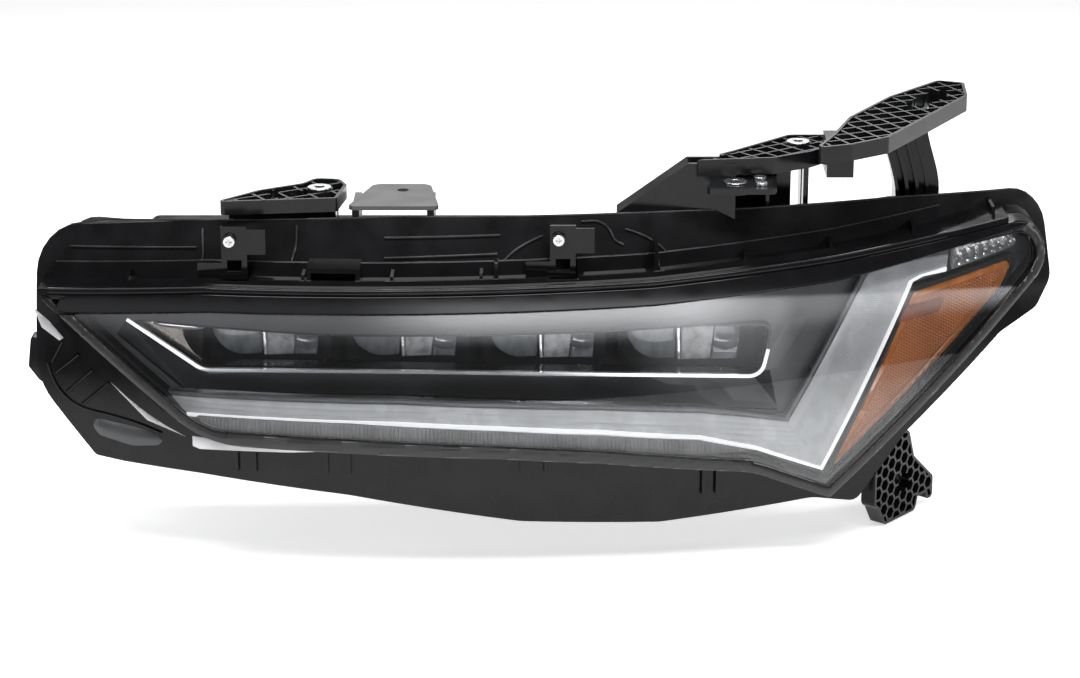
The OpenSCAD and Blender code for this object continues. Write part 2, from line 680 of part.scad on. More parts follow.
// The bracket steps up twice as it runs outboard and stands on a ribbed leg behind the lamp
module upper_outer_bracket() in_frame() color("#141517") difference() {
  union() {
    plan(outer_step, step_top - 12, step_top - 10);
    plan_rim(outer_step, step_top - 11, step_top, 2.2);
    plan_ribs(outer_step, step_top - 11, step_top - 0.5, 38, 13);
    pole(step_bolt[0], step_bolt[1], step_top - 12, step_top, bush_r + 3.5);
    plan([[466, 84, 5], [478, 136, 5], [520, 140, 5], [516, 84, 5]], 58, 62);
    pole(low_bolt[0], low_bolt[1], 55, 62, bush_r + 5);
    difference() {
      union() {
        plan(outer_wing, wing_top - 12, wing_top - 10);
        plan_rim(outer_wing, wing_top - 11, wing_top, 2.2);
        plan_ribs(outer_wing, wing_top - 11, wing_top - 0.5, 24, 14);
      }
      plan(wing_slot, 0, 200);
    }
    plan_rim(wing_slot, wing_top - 12, wing_top, -2);
    block([553, 108, step_top - 12], [572, 146, wing_top - 9]);
    for (y = [113, 131]) front([[405, 37, 0], [455, 73, 0], [489, 73, 0], [489, tub_top, 0],
      [405, tub_top, 0]], y, y + 2.5);
    front([[405, 37, 0], [455, 73, 0], [458, 70, 0], [408, 34, 0]], 113, 133);
    block([474, 122, tub_top], [476.5, 133, step_top - 11]);
    block([486.5, 122, tub_top], [489, 162, step_top - 9]);
    block([512, 131, tub_top], [514.5, 168, step_top - 11]);
    block([486.5, 159.5, tub_top], [545, 162, step_top - 11]);
    block([540, 146, tub_top], [542.5, 190, step_top - 11]);
    for (i = [0 : 4]) leg_rib(599 + 8 * i, 172 + 5 * i, 26);
    front(leg_web, 190, 193);
  }
  pole(step_bolt[0], step_bolt[1], 0, 120, bush_r + 0.05);
  pole(low_bolt[0], low_bolt[1], 0, 70, bush_r + 0.05);
  cut_to(housing_outline, 0.3) layer(37.6, 41.3);
}

module upper_outer_bushes() in_frame() color("#b4b6b8") {
  bush(step_bolt[0], step_bolt[1], step_top - 12, step_top + 0.05);
  bush(low_bolt[0], low_bolt[1], 55, 62.05);
}

// Honeycomb plate at the lower outer corner, turned to face outboard; drawn in its own plane
comb_turn = 50;
comb_place = [620, 138, -177.5];
comb_outline = [[-38, 46, 6], [-38, -9, 6], [-33, -12, 0], [-24, -27, 4], [17, -27, 4], [20, -17, 1],
  [31, -17, 1], [33, -23, 2], [40, -23, 3], [40, -6, 4], [13, 17, 3], [5, 40, 6]];
module comb_frame() translate(comb_place) rotate([0, 0, comb_turn]) children();

module lower_outer_bracket() in_frame() color("#121314") difference() {
  comb_frame() front(comb_outline, 0, 12);
  comb_frame() difference() {
    front(comb_outline, -1, 9.5, grow = -2);
    for (i = [-6 : 8], k = [-6 : 6])
      translate([i * 8.4, 0, k * 9.7 + (i % 2) * 4.85]) rotate([90, 0, 0]) difference() {
        cylinder(r = 5.72, h = 30, center = true, $fn = 6);
        cylinder(r = 4.5, h = 31, center = true, $fn = 6);
      }
    rod(0, 7.5, 12, 0, 8.5);
  }
  comb_frame() rod(0, -2, 7.5, 0, 7);
  comb_frame() rod(0, -2, 14, 0, 5);
  front(tub_outline, grow = 0.2);
  cut_to(housing_outline, 0.2) layer(30, 41.3);
}

module inner_hook_bracket() in_frame() color("#131415") difference() {
  front([[-14, -49, 2], [8, -52, 2], [10, -86, 3], [2, -86, 3], [-8, -79, 3], [-16, -70, 2]], 84, 104);
  front([[-9, -55, 2], [4, -57, 2], [4, -78, 2], [-9, -70, 2]], 80, 99);
  front(tub_outline, grow = 0.15);
  layer(0, 41.2);
}

module bracket_screws() in_frame() color("#8d8f91") {
  for (x = inner_screw_xs) pole(x, 108, inner_top - 7.95, inner_top - 5, 4);
  for (p = platform_screws) pole(p[0], p[1], 62.05, 64.5, 4.5);
}

// ---- Tilting carrier -----------------------------------------------------------------------

module rounded_window(x0, x1, z0, z1, y0, y1, r = 4)
  front([[x0, z1, r], [x1, z1, r], [x1, z0, r], [x0, z0, r]], y0, y1);

module carrier_frame() in_frame() color("#3b3d40") difference() {
  union() {
    rounded_window(106, 506, -100, 8, 120, 124, 10);
    for (i = units) let(x = unit_x0 + unit_pitch * i) rounded_window(x - 5, x + 85, -71.5, -18, 107.5, 120.1);
    for (x = pivot_xs) rod(x, 117, 135, pivot_z, 12.5);
    rod(aim_x, 117, 124, aim_z, 12.5);
  }
  for (i = units) let(x = unit_x0 + unit_pitch * i) rounded_window(x - 2, x + 82, -68.5, -21, 100, 130);
  for (x = pivot_xs) rod(x, 116, 140, pivot_z, 9.6);
  rod(aim_x, 116, 140, aim_z, 9.6);
  for (i = units, sx = [2, 78], sz = screw_rows)
    rod(unit_x0 + unit_pitch * i + sx, 110, 130, sz, 2);
  for (x = [204, 303, 402], z = [-88, 1]) rod(x, 110, 130, z, 5);
}

function unit_low(i) = -24 - unit_h - unit_drop * i;

module lens_flange(x0, x1) difference() {
  rounded_window(x0, x1, -70, -19.5, 104.6, 107.3);
  rounded_window(x0 + 5, x1 - 5, -60, -26, 100, 110);
}

module projector_lens(i) in_frame() color("#cfd6da", 0.5) let(x = unit_x0 + unit_pitch * i) {
  intersection() {
    front([[x, -24, 3], [x + 36, -24, 1], [x + 36, unit_low(i), 1], [x, unit_low(i), 24]], unit_y, 104.7);
    translate([x + 18, unit_y + 66, -43]) sphere(r = 66, $fn = 128);
  }
  lens_flange(x - 3.5, x + 38);
}

module block_lens(i) in_frame() color("#aeb6ba", 0.5)
  let(x = unit_x0 + unit_pitch * i + 40, w = i == 3 ? 43 : 38) {
    front([[x, -26, 1], [x + w, -26, 1], [x + w - 3, unit_low(i), 1.5], [x, unit_low(i), 1]], unit_y + 3, 104.7);
    lens_flange(x - 1.5, x + 44.5);
  }

module heat_sink(i) in_frame() color("#9fa2a5") let(x = unit_x0 + unit_pitch * i) difference() {
  union() {
    rounded_window(x - 3, x + 83, -79, -10.5, 126.3, 130, 3);
    for (k = [0 : fin_count - 1]) let(fx = x + 8 + k * 64 / (fin_count - 1))
      block([fx - 0.9, 129.9, -70], [fx + 0.9, 156, -20]);
  }
  for (sx = [2, 78], sz = screw_rows) rod(x + sx, 110, 160, sz, 2.1);
  for (px = pivot_xs) rod(px, 100, 190, pivot_z, 13.2);
}

module projector_boards() in_frame() color("#1d5b39") for (i = units)
  let(x = unit_x0 + unit_pitch * i) difference() {
    rounded_window(x - 2, x + 82, -78.5, -11, 124.2, 126);
    for (sx = [2, 78], sz = screw_rows) rod(x + sx, 110, 160, sz, 2.1);
    for (px = pivot_xs) rod(px, 100, 190, pivot_z, 13.2);
  }

module carrier_screws() in_frame() color("#8f9193") for (i = units, sx = [2, 78], z = screw_rows)
  let(x = unit_x0 + unit_pitch * i + sx) {
    rod(x, 130.05, 132.4, z, 3.4);
    rod(x, 120.5, 130.2, z, 1.9);
  }

// Ball cups, open to the rear for the studs' necks
module pivot_sockets() in_frame() color("#e4e0d2") {
  for (x = pivot_xs) difference() {
    rod(x, 117.5, 134, pivot_z, 9.5);
    translate([x, pivot_y, pivot_z]) sphere(r = ball_r + 0.06, $fn = 64);
    rod(x, pivot_y, 140, pivot_z, 5.2);
  }
  difference() {
    rod(aim_x, 117.5, 134, aim_z, 9.5);
    translate([aim_x, pivot_y, aim_z]) sphere(r = ball_r + 0.2, $fn = 64);
    rod(aim_x, pivot_y, 140, aim_z, 5.2);
  }
}

// ---- Aim screw and nut ---------------------------------------------------------------------

module aim_screw() in_frame() color("#b7b9bb") difference() {
  union() {
    rod(aim_x, 143, 172, aim_z, screw_r);
    rod(aim_x, 171.9, rear_y + 6, aim_z, 4);
    rod(aim_x, rear_y + 5.2, rear_y + 16, aim_z, 9);
    for (turn = [0 : 30 : 330]) translate([aim_x, rear_y + 5.2, aim_z]) rotate([0, turn, 0])
      block([8.8, 0, -1.2], [10.6, 10.8, 1.2]);
  }
  translate([aim_x, rear_y + 16.1, aim_z]) rotate([90, 0, 0]) cylinder(r = 2.3, h = 8, $fn = 6);
}

module aim_nut() in_frame() color("#e4e0d2") difference() {
  union() {
    translate([aim_x, pivot_y, aim_z]) sphere(r = ball_r, $fn = 64);
    rod(aim_x, pivot_y, 140, aim_z, 3.6);
    block([aim_x - 7, 138, aim_z - 7], [aim_x + 7, 158, aim_z + 7]);
  }
  rod(aim_x, 138.5, 160, aim_z, screw_r + 0.05);
}

// ---- Assembly ------------------------------------------------------------------------------

housing();
outer_lens();
lens_frame();
lens_seal();
top_cowl();
bumper_clips();
clip_screws();
bezel();
lower_bezel();
projector_shroud();
trough_reflector();
chrome_strip();
drl_light_guide();
drl_reflector();
signature_line();
turn_lens();
turn_reflector();
corner_reflector();
side_marker_reflex();
side_marker_tray();
signal_boards();
signal_leds();
pivot_studs();
aim_bushing();
rear_cover();
rear_cover_seal();
rear_cover_screws();
led_driver();
driver_screws();
main_connector();
connector_pins();
vent_caps();
belly_vent();
upper_inner_bracket();
upper_inner_bush();
top_tab();
upper_outer_bracket();
upper_outer_bushes();
lower_outer_bracket();
inner_hook_bracket();
bracket_screws();
carrier_frame();
for (i = units) {
  projector_lens(i);
  block_lens(i);
  heat_sink(i);
}
projector_boards();
carrier_screws();
pivot_sockets();
aim_screw();
aim_nut();
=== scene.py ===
"""Looks for the car headlight assembly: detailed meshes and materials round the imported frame."""

import json
import math

import bmesh
import bpy
import numpy as np
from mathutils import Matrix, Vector, geometry


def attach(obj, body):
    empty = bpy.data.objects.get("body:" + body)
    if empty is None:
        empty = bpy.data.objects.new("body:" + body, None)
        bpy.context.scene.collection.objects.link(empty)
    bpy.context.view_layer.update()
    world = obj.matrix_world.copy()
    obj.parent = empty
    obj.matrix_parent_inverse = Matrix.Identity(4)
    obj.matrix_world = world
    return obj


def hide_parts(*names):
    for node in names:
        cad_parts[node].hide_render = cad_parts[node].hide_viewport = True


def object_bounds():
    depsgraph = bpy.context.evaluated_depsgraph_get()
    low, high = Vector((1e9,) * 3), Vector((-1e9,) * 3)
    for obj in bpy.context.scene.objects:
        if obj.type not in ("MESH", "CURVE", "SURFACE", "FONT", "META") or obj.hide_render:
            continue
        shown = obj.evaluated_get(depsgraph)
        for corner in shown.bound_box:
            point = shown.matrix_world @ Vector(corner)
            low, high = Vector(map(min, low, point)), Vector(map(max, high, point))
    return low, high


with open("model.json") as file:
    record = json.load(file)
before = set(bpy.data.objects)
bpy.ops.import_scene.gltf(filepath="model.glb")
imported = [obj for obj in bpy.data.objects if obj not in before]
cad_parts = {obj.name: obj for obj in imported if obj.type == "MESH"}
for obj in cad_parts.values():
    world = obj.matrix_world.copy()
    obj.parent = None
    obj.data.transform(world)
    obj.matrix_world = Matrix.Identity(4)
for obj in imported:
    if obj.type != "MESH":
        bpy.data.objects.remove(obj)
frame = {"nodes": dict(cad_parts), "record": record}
CAD_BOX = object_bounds()
NODES = frame["nodes"]
SLOT_OF = {s["node"]: s["material_slot"] for s in frame["record"]["subparts"]}
BODY_OF = {n: b for b, ns in frame["record"]["behaviour"]["bodies"].items() for n in ns}

# ---- The lamp's layout: millimetres, X outboard, Y rearward, Z up ----------------------------

ORIGIN = (193.0, 117.0, 54.0)
FACE_X, FACE_Z = 250.0, -130.0
PLAN_R, SIDE_R = 920.0, 380.0

LENS = [
    (-2, -7, 2), (120, 1, 0), (430, 3, 0), (560, 9, 0), (762, 25, 23),
    (557, -158, 3), (500, -131.5, 60), (392, -116.5, 0), (322, -110.3, 0), (220, -105.5, 0),
    (118, -101.5, 80),
]
RIM_TOP = (12.5, 12.5, 12.5, 12.5, 1.0)  # the rim's height below the first five points
RIM_LOW = (8.6, 9.3, 9.3, 10.0, 10.0)  # and above the last five
MARKER = [(618.5, -22, 2), (697, -9, 4), (686, -27, 6), (559, -141, 1)]
CORNER = [(648, 6, 1), (690, 9, 8), (702, 0, 3), (647, -10, 1)]
BAND = [  # upper and lower edge of the running-light band, station by station
    ((90, -70.2), (105, -87.1)), ((253, -71.3), (253, -90.8)), ((322, -75), (322, -95)),
    ((392, -78.9), (392, -100.4)), ((462, -85.6), (463, -109.2)), ((496, -92), (504, -120.6)),
    ((524, -98.6), (552.5, -141.5)), ((570, -21), (614.5, -21.5)), ((579, -6), (618, -14.5)),
    ((589, 1), (626, -11.8)), ((645.5, 4.5), (643, -11)),
]
LEG = 6  # the station at which the band turns up its outboard leg
TURN = [
    ((111, -84.8), (112, -86)), ((122, -85), (122, -91.3)), ((134, -85.3), (134, -94.6)),
    ((150, -85.7), (150, -96)), ((220, -87.1), (220, -98)), ((322, -93.2), (322, -103.7)),
    ((392, -99.3), (392, -110.2)), ((462, -107.4), (462, -117.6)), ((491, -115.4), (491, -118.2)),
    ((503, -119.2), (502.5, -119.7)),
]


def row(x, y, z):
    """A layout point as a place in the row frame, in metres."""
    return ((x - ORIGIN[0]) / 1000, (y - ORIGIN[1]) / 1000, (z - ORIGIN[2]) / 1000)


def layer_y(x, z, d):
    r = PLAN_R - SIDE_R + np.sqrt((SIDE_R - d) ** 2 - (z - FACE_Z) ** 2)
    return PLAN_R - np.sqrt(r**2 - (x - FACE_X) ** 2)


def rounded(outline, steps=8):
    """The outline with its corners rounded, as a list of points."""
    out = []
    n = len(outline)
    for i, (x, z, r) in enumerate(outline):
        b = np.array([x, z], float)
        if r == 0:
            out.append(b)
            continue
        u = np.array(outline[i - 1][:2], float) - b
        w = np.array(outline[(i + 1) % n][:2], float) - b
        u /= np.linalg.norm(u)
        w /= np.linalg.norm(w)
        half = math.acos(float(u @ w)) / 2
        mid = (u + w) / np.linalg.norm(u + w)
        centre = b + mid * r / math.sin(half)
        start = b + u * r / math.tan(half) - centre
        end = b + w * r / math.tan(half) - centre
        turn = math.pi - 2 * half
        for k in range(steps + 1):
            t = k / steps
            p = (math.sin((1 - t) * turn) * start + math.sin(t * turn) * end) / math.sin(turn)
            out.append(centre + p)
    return out


def densified(ring, pitch):
    """Closed ring with points no further apart than pitch."""
    out = []
    for i, a in enumerate(ring):
        b = ring[(i + 1) % len(ring)]
        n = max(1, math.ceil(np.linalg.norm(b - a) / pitch))
        out += [a + (b - a) * k / n for k in range(n)]
    return out


def inside(points, ring):
    """Which points lie in the ring."""
    x, z = points[:, 0], points[:, 1]
    hit = np.zeros(len(points), bool)
    for (ax, az), (bx, bz) in zip(ring, np.roll(ring, -1, axis=0)):
        if az == bz:
            continue
        cross = (az > z) != (bz > z)
        hit ^= cross & (x < (bx - ax) * (z - az) / (bz - az) + ax)
    return hit


def edge_distance(points, ring):
    """Distance of each point from the ring's line."""
    best = np.full(len(points), 1e9)
    for a, b in zip(ring, np.roll(ring, -1, axis=0)):
        ab = b - a
        t = np.clip(((points - a) @ ab) / max(ab @ ab, 1e-9), 0, 1)
        best = np.minimum(best, np.linalg.norm(points - a - t[:, None] * ab, axis=1))
    return best


# ---- Materials -------------------------------------------------------------------------------


def new_material(name):
    m = bpy.data.materials.new(name)
    m.use_nodes = True
    nt = m.node_tree
    nt.nodes.clear()
    return m, nt, nt.nodes.new("ShaderNodeOutputMaterial")


def noise(nt, size_mm, detail=3.0, stretch=(1, 1, 1)):
    """Noise on the object's own coordinates, with features of about size_mm."""
    place = nt.nodes.new("ShaderNodeTexCoord")
    scale = nt.nodes.new("ShaderNodeMapping")
    scale.inputs["Scale"].default_value = stretch
    tex = nt.nodes.new("ShaderNodeTexNoise")
    tex.inputs["Scale"].default_value = 1000.0 / size_mm
    tex.inputs["Detail"].default_value = detail
    nt.links.new(place.outputs["Object"], scale.inputs["Vector"])
    nt.links.new(scale.outputs["Vector"], tex.inputs["Vector"])
    return tex.outputs["Fac"]


def spread(nt, value, low, high, start=0.35, end=0.65):
    """value from start to end, mapped to low to high."""
    node = nt.nodes.new("ShaderNodeMapRange")
    node.inputs["From Min"].default_value = start
    node.inputs["From Max"].default_value = end
    node.inputs["To Min"].default_value = low
    node.inputs["To Max"].default_value = high
    nt.links.new(value, node.inputs["Value"])
    return node.outputs["Result"]


def blended(nt, factor, a, b):
    node = nt.nodes.new("ShaderNodeMix")
    node.data_type = "RGBA"
    node.inputs["A"].default_value = (*a, 1)
    node.inputs["B"].default_value = (*b, 1)
    nt.links.new(factor, node.inputs["Factor"])
    return node.outputs["Result"]


def bumped(nt, height, depth_mm):
    node = nt.nodes.new("ShaderNodeBump")
    node.inputs["Distance"].default_value = depth_mm / 1000
    nt.links.new(height, node.inputs["Height"])
    return node.outputs["Normal"]


def moulded(name, colour, rough, grain=0.5, depth=0.01, vary=0.25, metal=0.0, coat=0.0, wave=22.0,
            spec=0.5, stretch=(1, 1, 1), glow=0.0):
    """Moulded, cast or plated surface: fine grain in its relief, slow changes in colour and gloss."""
    m, nt, out = new_material(name)
    shader = nt.nodes.new("ShaderNodeBsdfPrincipled")
    shader.inputs["Metallic"].default_value = metal
    shader.inputs["Coat Weight"].default_value = coat
    shader.inputs["Coat Roughness"].default_value = 0.04
    shader.inputs["Specular IOR Level"].default_value = spec
    slow = noise(nt, wave, 4.0, stretch)
    fine = noise(nt, grain, 2.0, stretch)
    dark = tuple(c * (1 - vary) for c in colour)
    light = tuple(min(1.0, c * (1 + vary)) for c in colour)
    nt.links.new(blended(nt, spread(nt, slow, 0, 1), dark, light), shader.inputs["Base Color"])
    nt.links.new(spread(nt, slow, rough * 0.85, min(1, rough * 1.2)), shader.inputs["Roughness"])
    # Painted light: where glow is set, the surface gives off light in its own colour although it is not
    # lit.
    if glow:
        shader.inputs["Emission Color"].default_value = (*colour, 1)
        shader.inputs["Emission Strength"].default_value = glow
    nt.links.new(bumped(nt, fine, depth), shader.inputs["Normal"])
    nt.links.new(shader.outputs[0], out.inputs["Surface"])
    return m


def clear_glass(name, tint, ior=1.5, haze=0.0):
    """Clear moulded lens: what it doesn't mirror passes through."""
    m, nt, out = new_material(name)
    passing = nt.nodes.new("ShaderNodeBsdfTransparent")
    passing.inputs["Color"].default_value = (*tint, 1)
    mirror = nt.nodes.new("ShaderNodeBsdfGlossy")
    fresnel = nt.nodes.new("ShaderNodeFresnel")
    fresnel.inputs["IOR"].default_value = ior
    mix = nt.nodes.new("ShaderNodeMixShader")
    nt.links.new(spread(nt, noise(nt, 80, 2.0), 0.012, 0.03), mirror.inputs["Roughness"])
    nt.links.new(fresnel.outputs[0], mix.inputs[0])
    nt.links.new(passing.outputs[0], mix.inputs[1])
    nt.links.new(mirror.outputs[0], mix.inputs[2])
    if haze:
        milk = nt.nodes.new("ShaderNodeBsdfDiffuse")
        milk.inputs["Color"].default_value = (0.8, 0.82, 0.84, 1)
        both = nt.nodes.new("ShaderNodeMixShader")
        nt.links.new(spread(nt, noise(nt, 40, 2.0), haze * 0.6, haze * 1.4), both.inputs[0])
        nt.links.new(mix.outputs[0], both.inputs[1])
        nt.links.new(milk.outputs[0], both.inputs[2])
        mix = both
    nt.links.new(mix.outputs[0], out.inputs["Surface"])
    return m


def solid_glass(name, tint, rough=0.02):
    """Thick optical glass that bends what is behind it; vertical streaks in its colour paint a flare of
    light.
    """
    m, nt, out = new_material(name)
    shader = nt.nodes.new("ShaderNodeBsdfPrincipled")
    shader.inputs["Transmission Weight"].default_value = 0.35
    shader.inputs["IOR"].default_value = 1.55
    shader.inputs["Coat Weight"].default_value = 1.0
    shader.inputs["Coat Roughness"].default_value = 0.03
    # Painted reflection: the base colour runs in vertical streaks between 0.6 of the tint and the full
    # tint, standing in for the bright vertical flare in the lens.
    dark = tuple(c * 0.6 for c in tint)
    nt.links.new(blended(nt, spread(nt, noise(nt, 9, 2.0, (1, 1, 0.4)), 0, 1), dark, tint),
                 shader.inputs["Base Color"])
    nt.links.new(spread(nt, noise(nt, 14, 2.0), rough, rough + 0.05), shader.inputs["Roughness"])
    nt.links.new(shader.outputs[0], out.inputs["Surface"])
    return m


def wave(nt, period_mm, angle=0.0):
    """Even stripes across the front view, their direction turned by angle."""
    place = nt.nodes.new("ShaderNodeTexCoord")
    turn = nt.nodes.new("ShaderNodeMapping")
    turn.inputs["Rotation"].default_value = (0, math.radians(angle), 0)
    tex = nt.nodes.new("ShaderNodeTexWave")
    tex.inputs["Scale"].default_value = 100 * math.pi / period_mm
    nt.links.new(place.outputs["Object"], turn.inputs["Vector"])
    nt.links.new(turn.outputs["Vector"], tex.inputs["Vector"])
    return tex.outputs["Fac"]


def summed(nt, values):
    total = values[0]
    for v in values[1:]:
        node = nt.nodes.new("ShaderNodeMath")
        nt.links.new(total, node.inputs[0])
        nt.links.new(v, node.inputs[1])
        total = node.outputs[0]
    return total


def reflex(name, dark, light, cell=2.0):
    """Coloured reflex: a honeycomb of small prisms seen through clear plastic."""
    m, nt, out = new_material(name)
    shader = nt.nodes.new("ShaderNodeBsdfPrincipled")
    shader.inputs["Coat Weight"].default_value = 0.6
    shader.inputs["Coat Roughness"].default_value = 0.05
    comb = summed(nt, [wave(nt, cell, a) for a in (0, 60, 120)])
    slow = spread(nt, noise(nt, 30, 2.0), -0.35, 0.35)
    nt.links.new(blended(nt, spread(nt, summed(nt, [comb, slow]), 0, 1, 0.7, 2.1), dark, light),
                 shader.inputs["Base Color"])
    nt.links.new(spread(nt, comb, 0.42, 0.2, 0.5, 2.2), shader.inputs["Roughness"])
    nt.links.new(bumped(nt, comb, 0.1), shader.inputs["Normal"])
    nt.links.new(shader.outputs[0], out.inputs["Surface"])
    return m


MATERIALS = {
    "housing_plastic": moulded("housing_plastic", (0.006, 0.0061, 0.0066), 0.14, 0.6, 0.003, spec=0.2),
    "cowl_gloss": moulded("cowl_gloss", (0.004, 0.004, 0.0045), 0.09, 2.5, 0.003, spec=0.22),
    # edge beads: lighter than the other blacks and fully specular, a painted highlight on real raised
    # edges.
    "painted_edge_highlight": moulded("painted_edge_highlight", (0.02, 0.02, 0.021), 0.16, 3.0, 0.002, spec=1.0),
    "rim_gloss": moulded("rim_gloss", (0.004, 0.004, 0.0045), 0.1, 3.0, 0.003, spec=0.22),
    "rim_satin": moulded("rim_satin", (0.016, 0.016, 0.0168), 0.3, 0.6, 0.005, vary=0.12, spec=0.35),
    "lens_clear": clear_glass("lens_clear", (0.97, 0.975, 0.98)),
    "seal_rubber": moulded("seal_rubber", (0.02, 0.02, 0.021), 0.62, 0.4, 0.03, vary=0.35),
    "seal_orange": moulded("seal_orange", (0.5, 0.13, 0.04), 0.6, 0.4, 0.03, vary=0.2),
    "bezel_grey": moulded("bezel_grey", (0.095, 0.096, 0.099), 0.42, 0.45, 0.003, vary=0.1),
    "ramp_dark": moulded("ramp_dark", (0.04, 0.0405, 0.042), 0.36, 0.45, 0.003, vary=0.1),
    "shroud_dark": moulded("shroud_dark", (0.02, 0.02, 0.021), 0.30, 0.5, 0.003, vary=0.15),
    "smoky_chrome": moulded("smoky_chrome", (0.2, 0.185, 0.168), 0.26, 3.0, 0.004, vary=0.15,
                            metal=0.9, wave=30),
    # bright chrome: metal with a slight glow, which is painted light to make it read brighter.
    "bright_chrome": moulded("bright_chrome", (0.88, 0.885, 0.895), 0.16, 3.0, 0.004, vary=0.05,
                             metal=0.85, glow=0.06),
    # light guide: its own pale colour, plus a slight glow that is painted light, since the running light
    # is not lit.
    "light_guide": moulded("light_guide", (0.56, 0.565, 0.575), 0.24, 0.9, 0.015, vary=0.14, coat=0.5,
                           glow=0.05),
    "guide_edge": moulded("guide_edge", (0.2, 0.2, 0.204), 0.3, 0.9, 0.01, vary=0.1, coat=0.3),
    # signature line: white, with a strong glow that is painted light, since the lamp is not lit.
    "signature_white": moulded("signature_white", (0.93, 0.935, 0.94), 0.2, 0.8, 0.006, vary=0.03,
                               coat=0.5, glow=0.7),
    "tray_silver": moulded("tray_silver", (0.5, 0.505, 0.515), 0.3, 0.8, 0.02, vary=0.12, metal=0.85),
    "turn_smoke": moulded("turn_smoke", (0.13, 0.131, 0.134), 0.2, 1.2, 0.01, vary=0.55, coat=0.6,
                          wave=26),
    "amber_reflex": reflex("amber_reflex", (0.34, 0.085, 0.018), (0.66, 0.225, 0.055)),
    "amber_edge": moulded("amber_edge", (0.6, 0.2, 0.045), 0.18, 1.5, 0.004, vary=0.15, coat=0.8),
    "amber_dark": moulded("amber_dark", (0.3, 0.08, 0.02), 0.25, 1.5, 0.004, vary=0.15, coat=0.6),
    "facet_grey": moulded("facet_grey", (0.13, 0.13, 0.133), 0.38, 0.6, 0.01, vary=0.15, wave=30),
    # skirt glints: a light grey that paints highlights.
    "painted_glint_grey": moulded("painted_glint_grey", (0.42, 0.42, 0.43), 0.35, 0.6, 0.008, vary=0.15, wave=30),
    "circuit_board": moulded("circuit_board", (0.02, 0.11, 0.05), 0.4, 0.7, 0.03, vary=0.3, wave=6),
    "led_yellow": moulded("led_yellow", (0.85, 0.72, 0.3), 0.35, 0.5, 0.01, vary=0.1),
    "screw_steel": moulded("screw_steel", (0.56, 0.565, 0.575), 0.27, 0.5, 0.012, vary=0.12, metal=1.0,
                           wave=3),
    "nylon_cream": moulded("nylon_cream", (0.72, 0.68, 0.54), 0.42, 0.6, 0.015, vary=0.06),
    "cast_aluminium": moulded("cast_aluminium", (0.5, 0.505, 0.515), 0.42, 0.5, 0.05, vary=0.12,
                              metal=1.0, wave=8),
    "connector_black": moulded("connector_black", (0.018, 0.018, 0.02), 0.45, 0.5, 0.015, vary=0.2),
    "pin_brass": moulded("pin_brass", (0.74, 0.54, 0.2), 0.24, 0.6, 0.005, vary=0.1, metal=1.0),
    "bracket_black": moulded("bracket_black", (0.006, 0.0062, 0.0068), 0.2, 0.45, 0.008, vary=0.25,
                             spec=0.25),
    "tab_grey": moulded("tab_grey", (0.05, 0.051, 0.053), 0.4, 0.5, 0.012, vary=0.12),
    "carrier_grey": moulded("carrier_grey", (0.03, 0.031, 0.033), 0.4, 0.5, 0.015, vary=0.15),
    "frosted_guide": moulded("frosted_guide", (0.5, 0.505, 0.51), 0.3, 0.8, 0.02, vary=0.4, coat=0.5,
                             wave=9),
    "rib_silver": moulded("rib_silver", (0.45, 0.46, 0.47), 0.25, 0.8, 0.01, vary=0.2, metal=0.9),
    "projector_glass": solid_glass("projector_glass", (0.42, 0.44, 0.46)),
}

# ---- Mesh building ---------------------------------------------------------------------------


def piece(name, verts, faces, slot, body, nodes=(), smooth=True, sharp=35.0):
    """A new object in the row frame, from points already in metres."""
    mesh = bpy.data.meshes.new(name)
    mesh.from_pydata([tuple(v) for v in verts], [], faces)
    tidy = bmesh.new()
    tidy.from_mesh(mesh)
    bmesh.ops.remove_doubles(tidy, verts=tidy.verts, dist=1e-6)
    bmesh.ops.recalc_face_normals(tidy, faces=tidy.faces)
    for f in tidy.faces:
        f.smooth = smooth
    for e in tidy.edges:
        if len(e.link_faces) == 2 and e.calc_face_angle(0) > math.radians(sharp):
            e.smooth = False
    tidy.to_mesh(mesh)
    tidy.free()
    obj = bpy.data.objects.new(name, mesh)
    bpy.context.scene.collection.objects.link(obj)
    return dressed(obj, slot, body, nodes)


def dressed(obj, slot, body, nodes=()):
    obj.data.materials.clear()
    obj.data.materials.append(MATERIALS[slot])
    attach(obj, body)
    if nodes:
        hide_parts(*nodes)
    return obj


def skin(node, width=0.4, segments=2, angle=30, name=None):
    """A copy of a CAD node with its coplanar facets merged and its edges rounded."""
    mesh = NODES[node].data.copy()
    mesh.name = name or node + "_skin"
    tidy = bmesh.new()
    tidy.from_mesh(mesh)
    bmesh.ops.remove_doubles(tidy, verts=tidy.verts, dist=2e-6)
    bmesh.ops.dissolve_limit(tidy, angle_limit=math.radians(0.6), verts=tidy.verts, edges=tidy.edges)
    for f in tidy.faces:
        f.smooth = True
    for e in tidy.edges:
        e.smooth = len(e.link_faces) != 2 or e.calc_face_angle(0) < math.radians(angle)
    tidy.to_mesh(mesh)
    tidy.free()
    obj = bpy.data.objects.new(mesh.name, mesh)
    bpy.context.scene.collection.objects.link(obj)
    if width:
        bevel = obj.modifiers.new("round", "BEVEL")
        bevel.width = width / 1000
        bevel.segments = segments
        bevel.limit_method = "ANGLE"
        bevel.angle_limit = math.radians(angle)
        bevel.use_clamp_overlap = True
        bevel.harden_normals = False
        flat = obj.modifiers.new("flat", "WEIGHTED_NORMAL")
        flat.keep_sharp = True
        bpy.context.view_layer.update()
        done = bpy.data.meshes.new_from_object(
            obj.evaluated_get(bpy.context.evaluated_depsgraph_get()))
        obj.modifiers.clear()
        obj.data = done
    return dressed(obj, SLOT_OF[node], BODY_OF[node], [node])


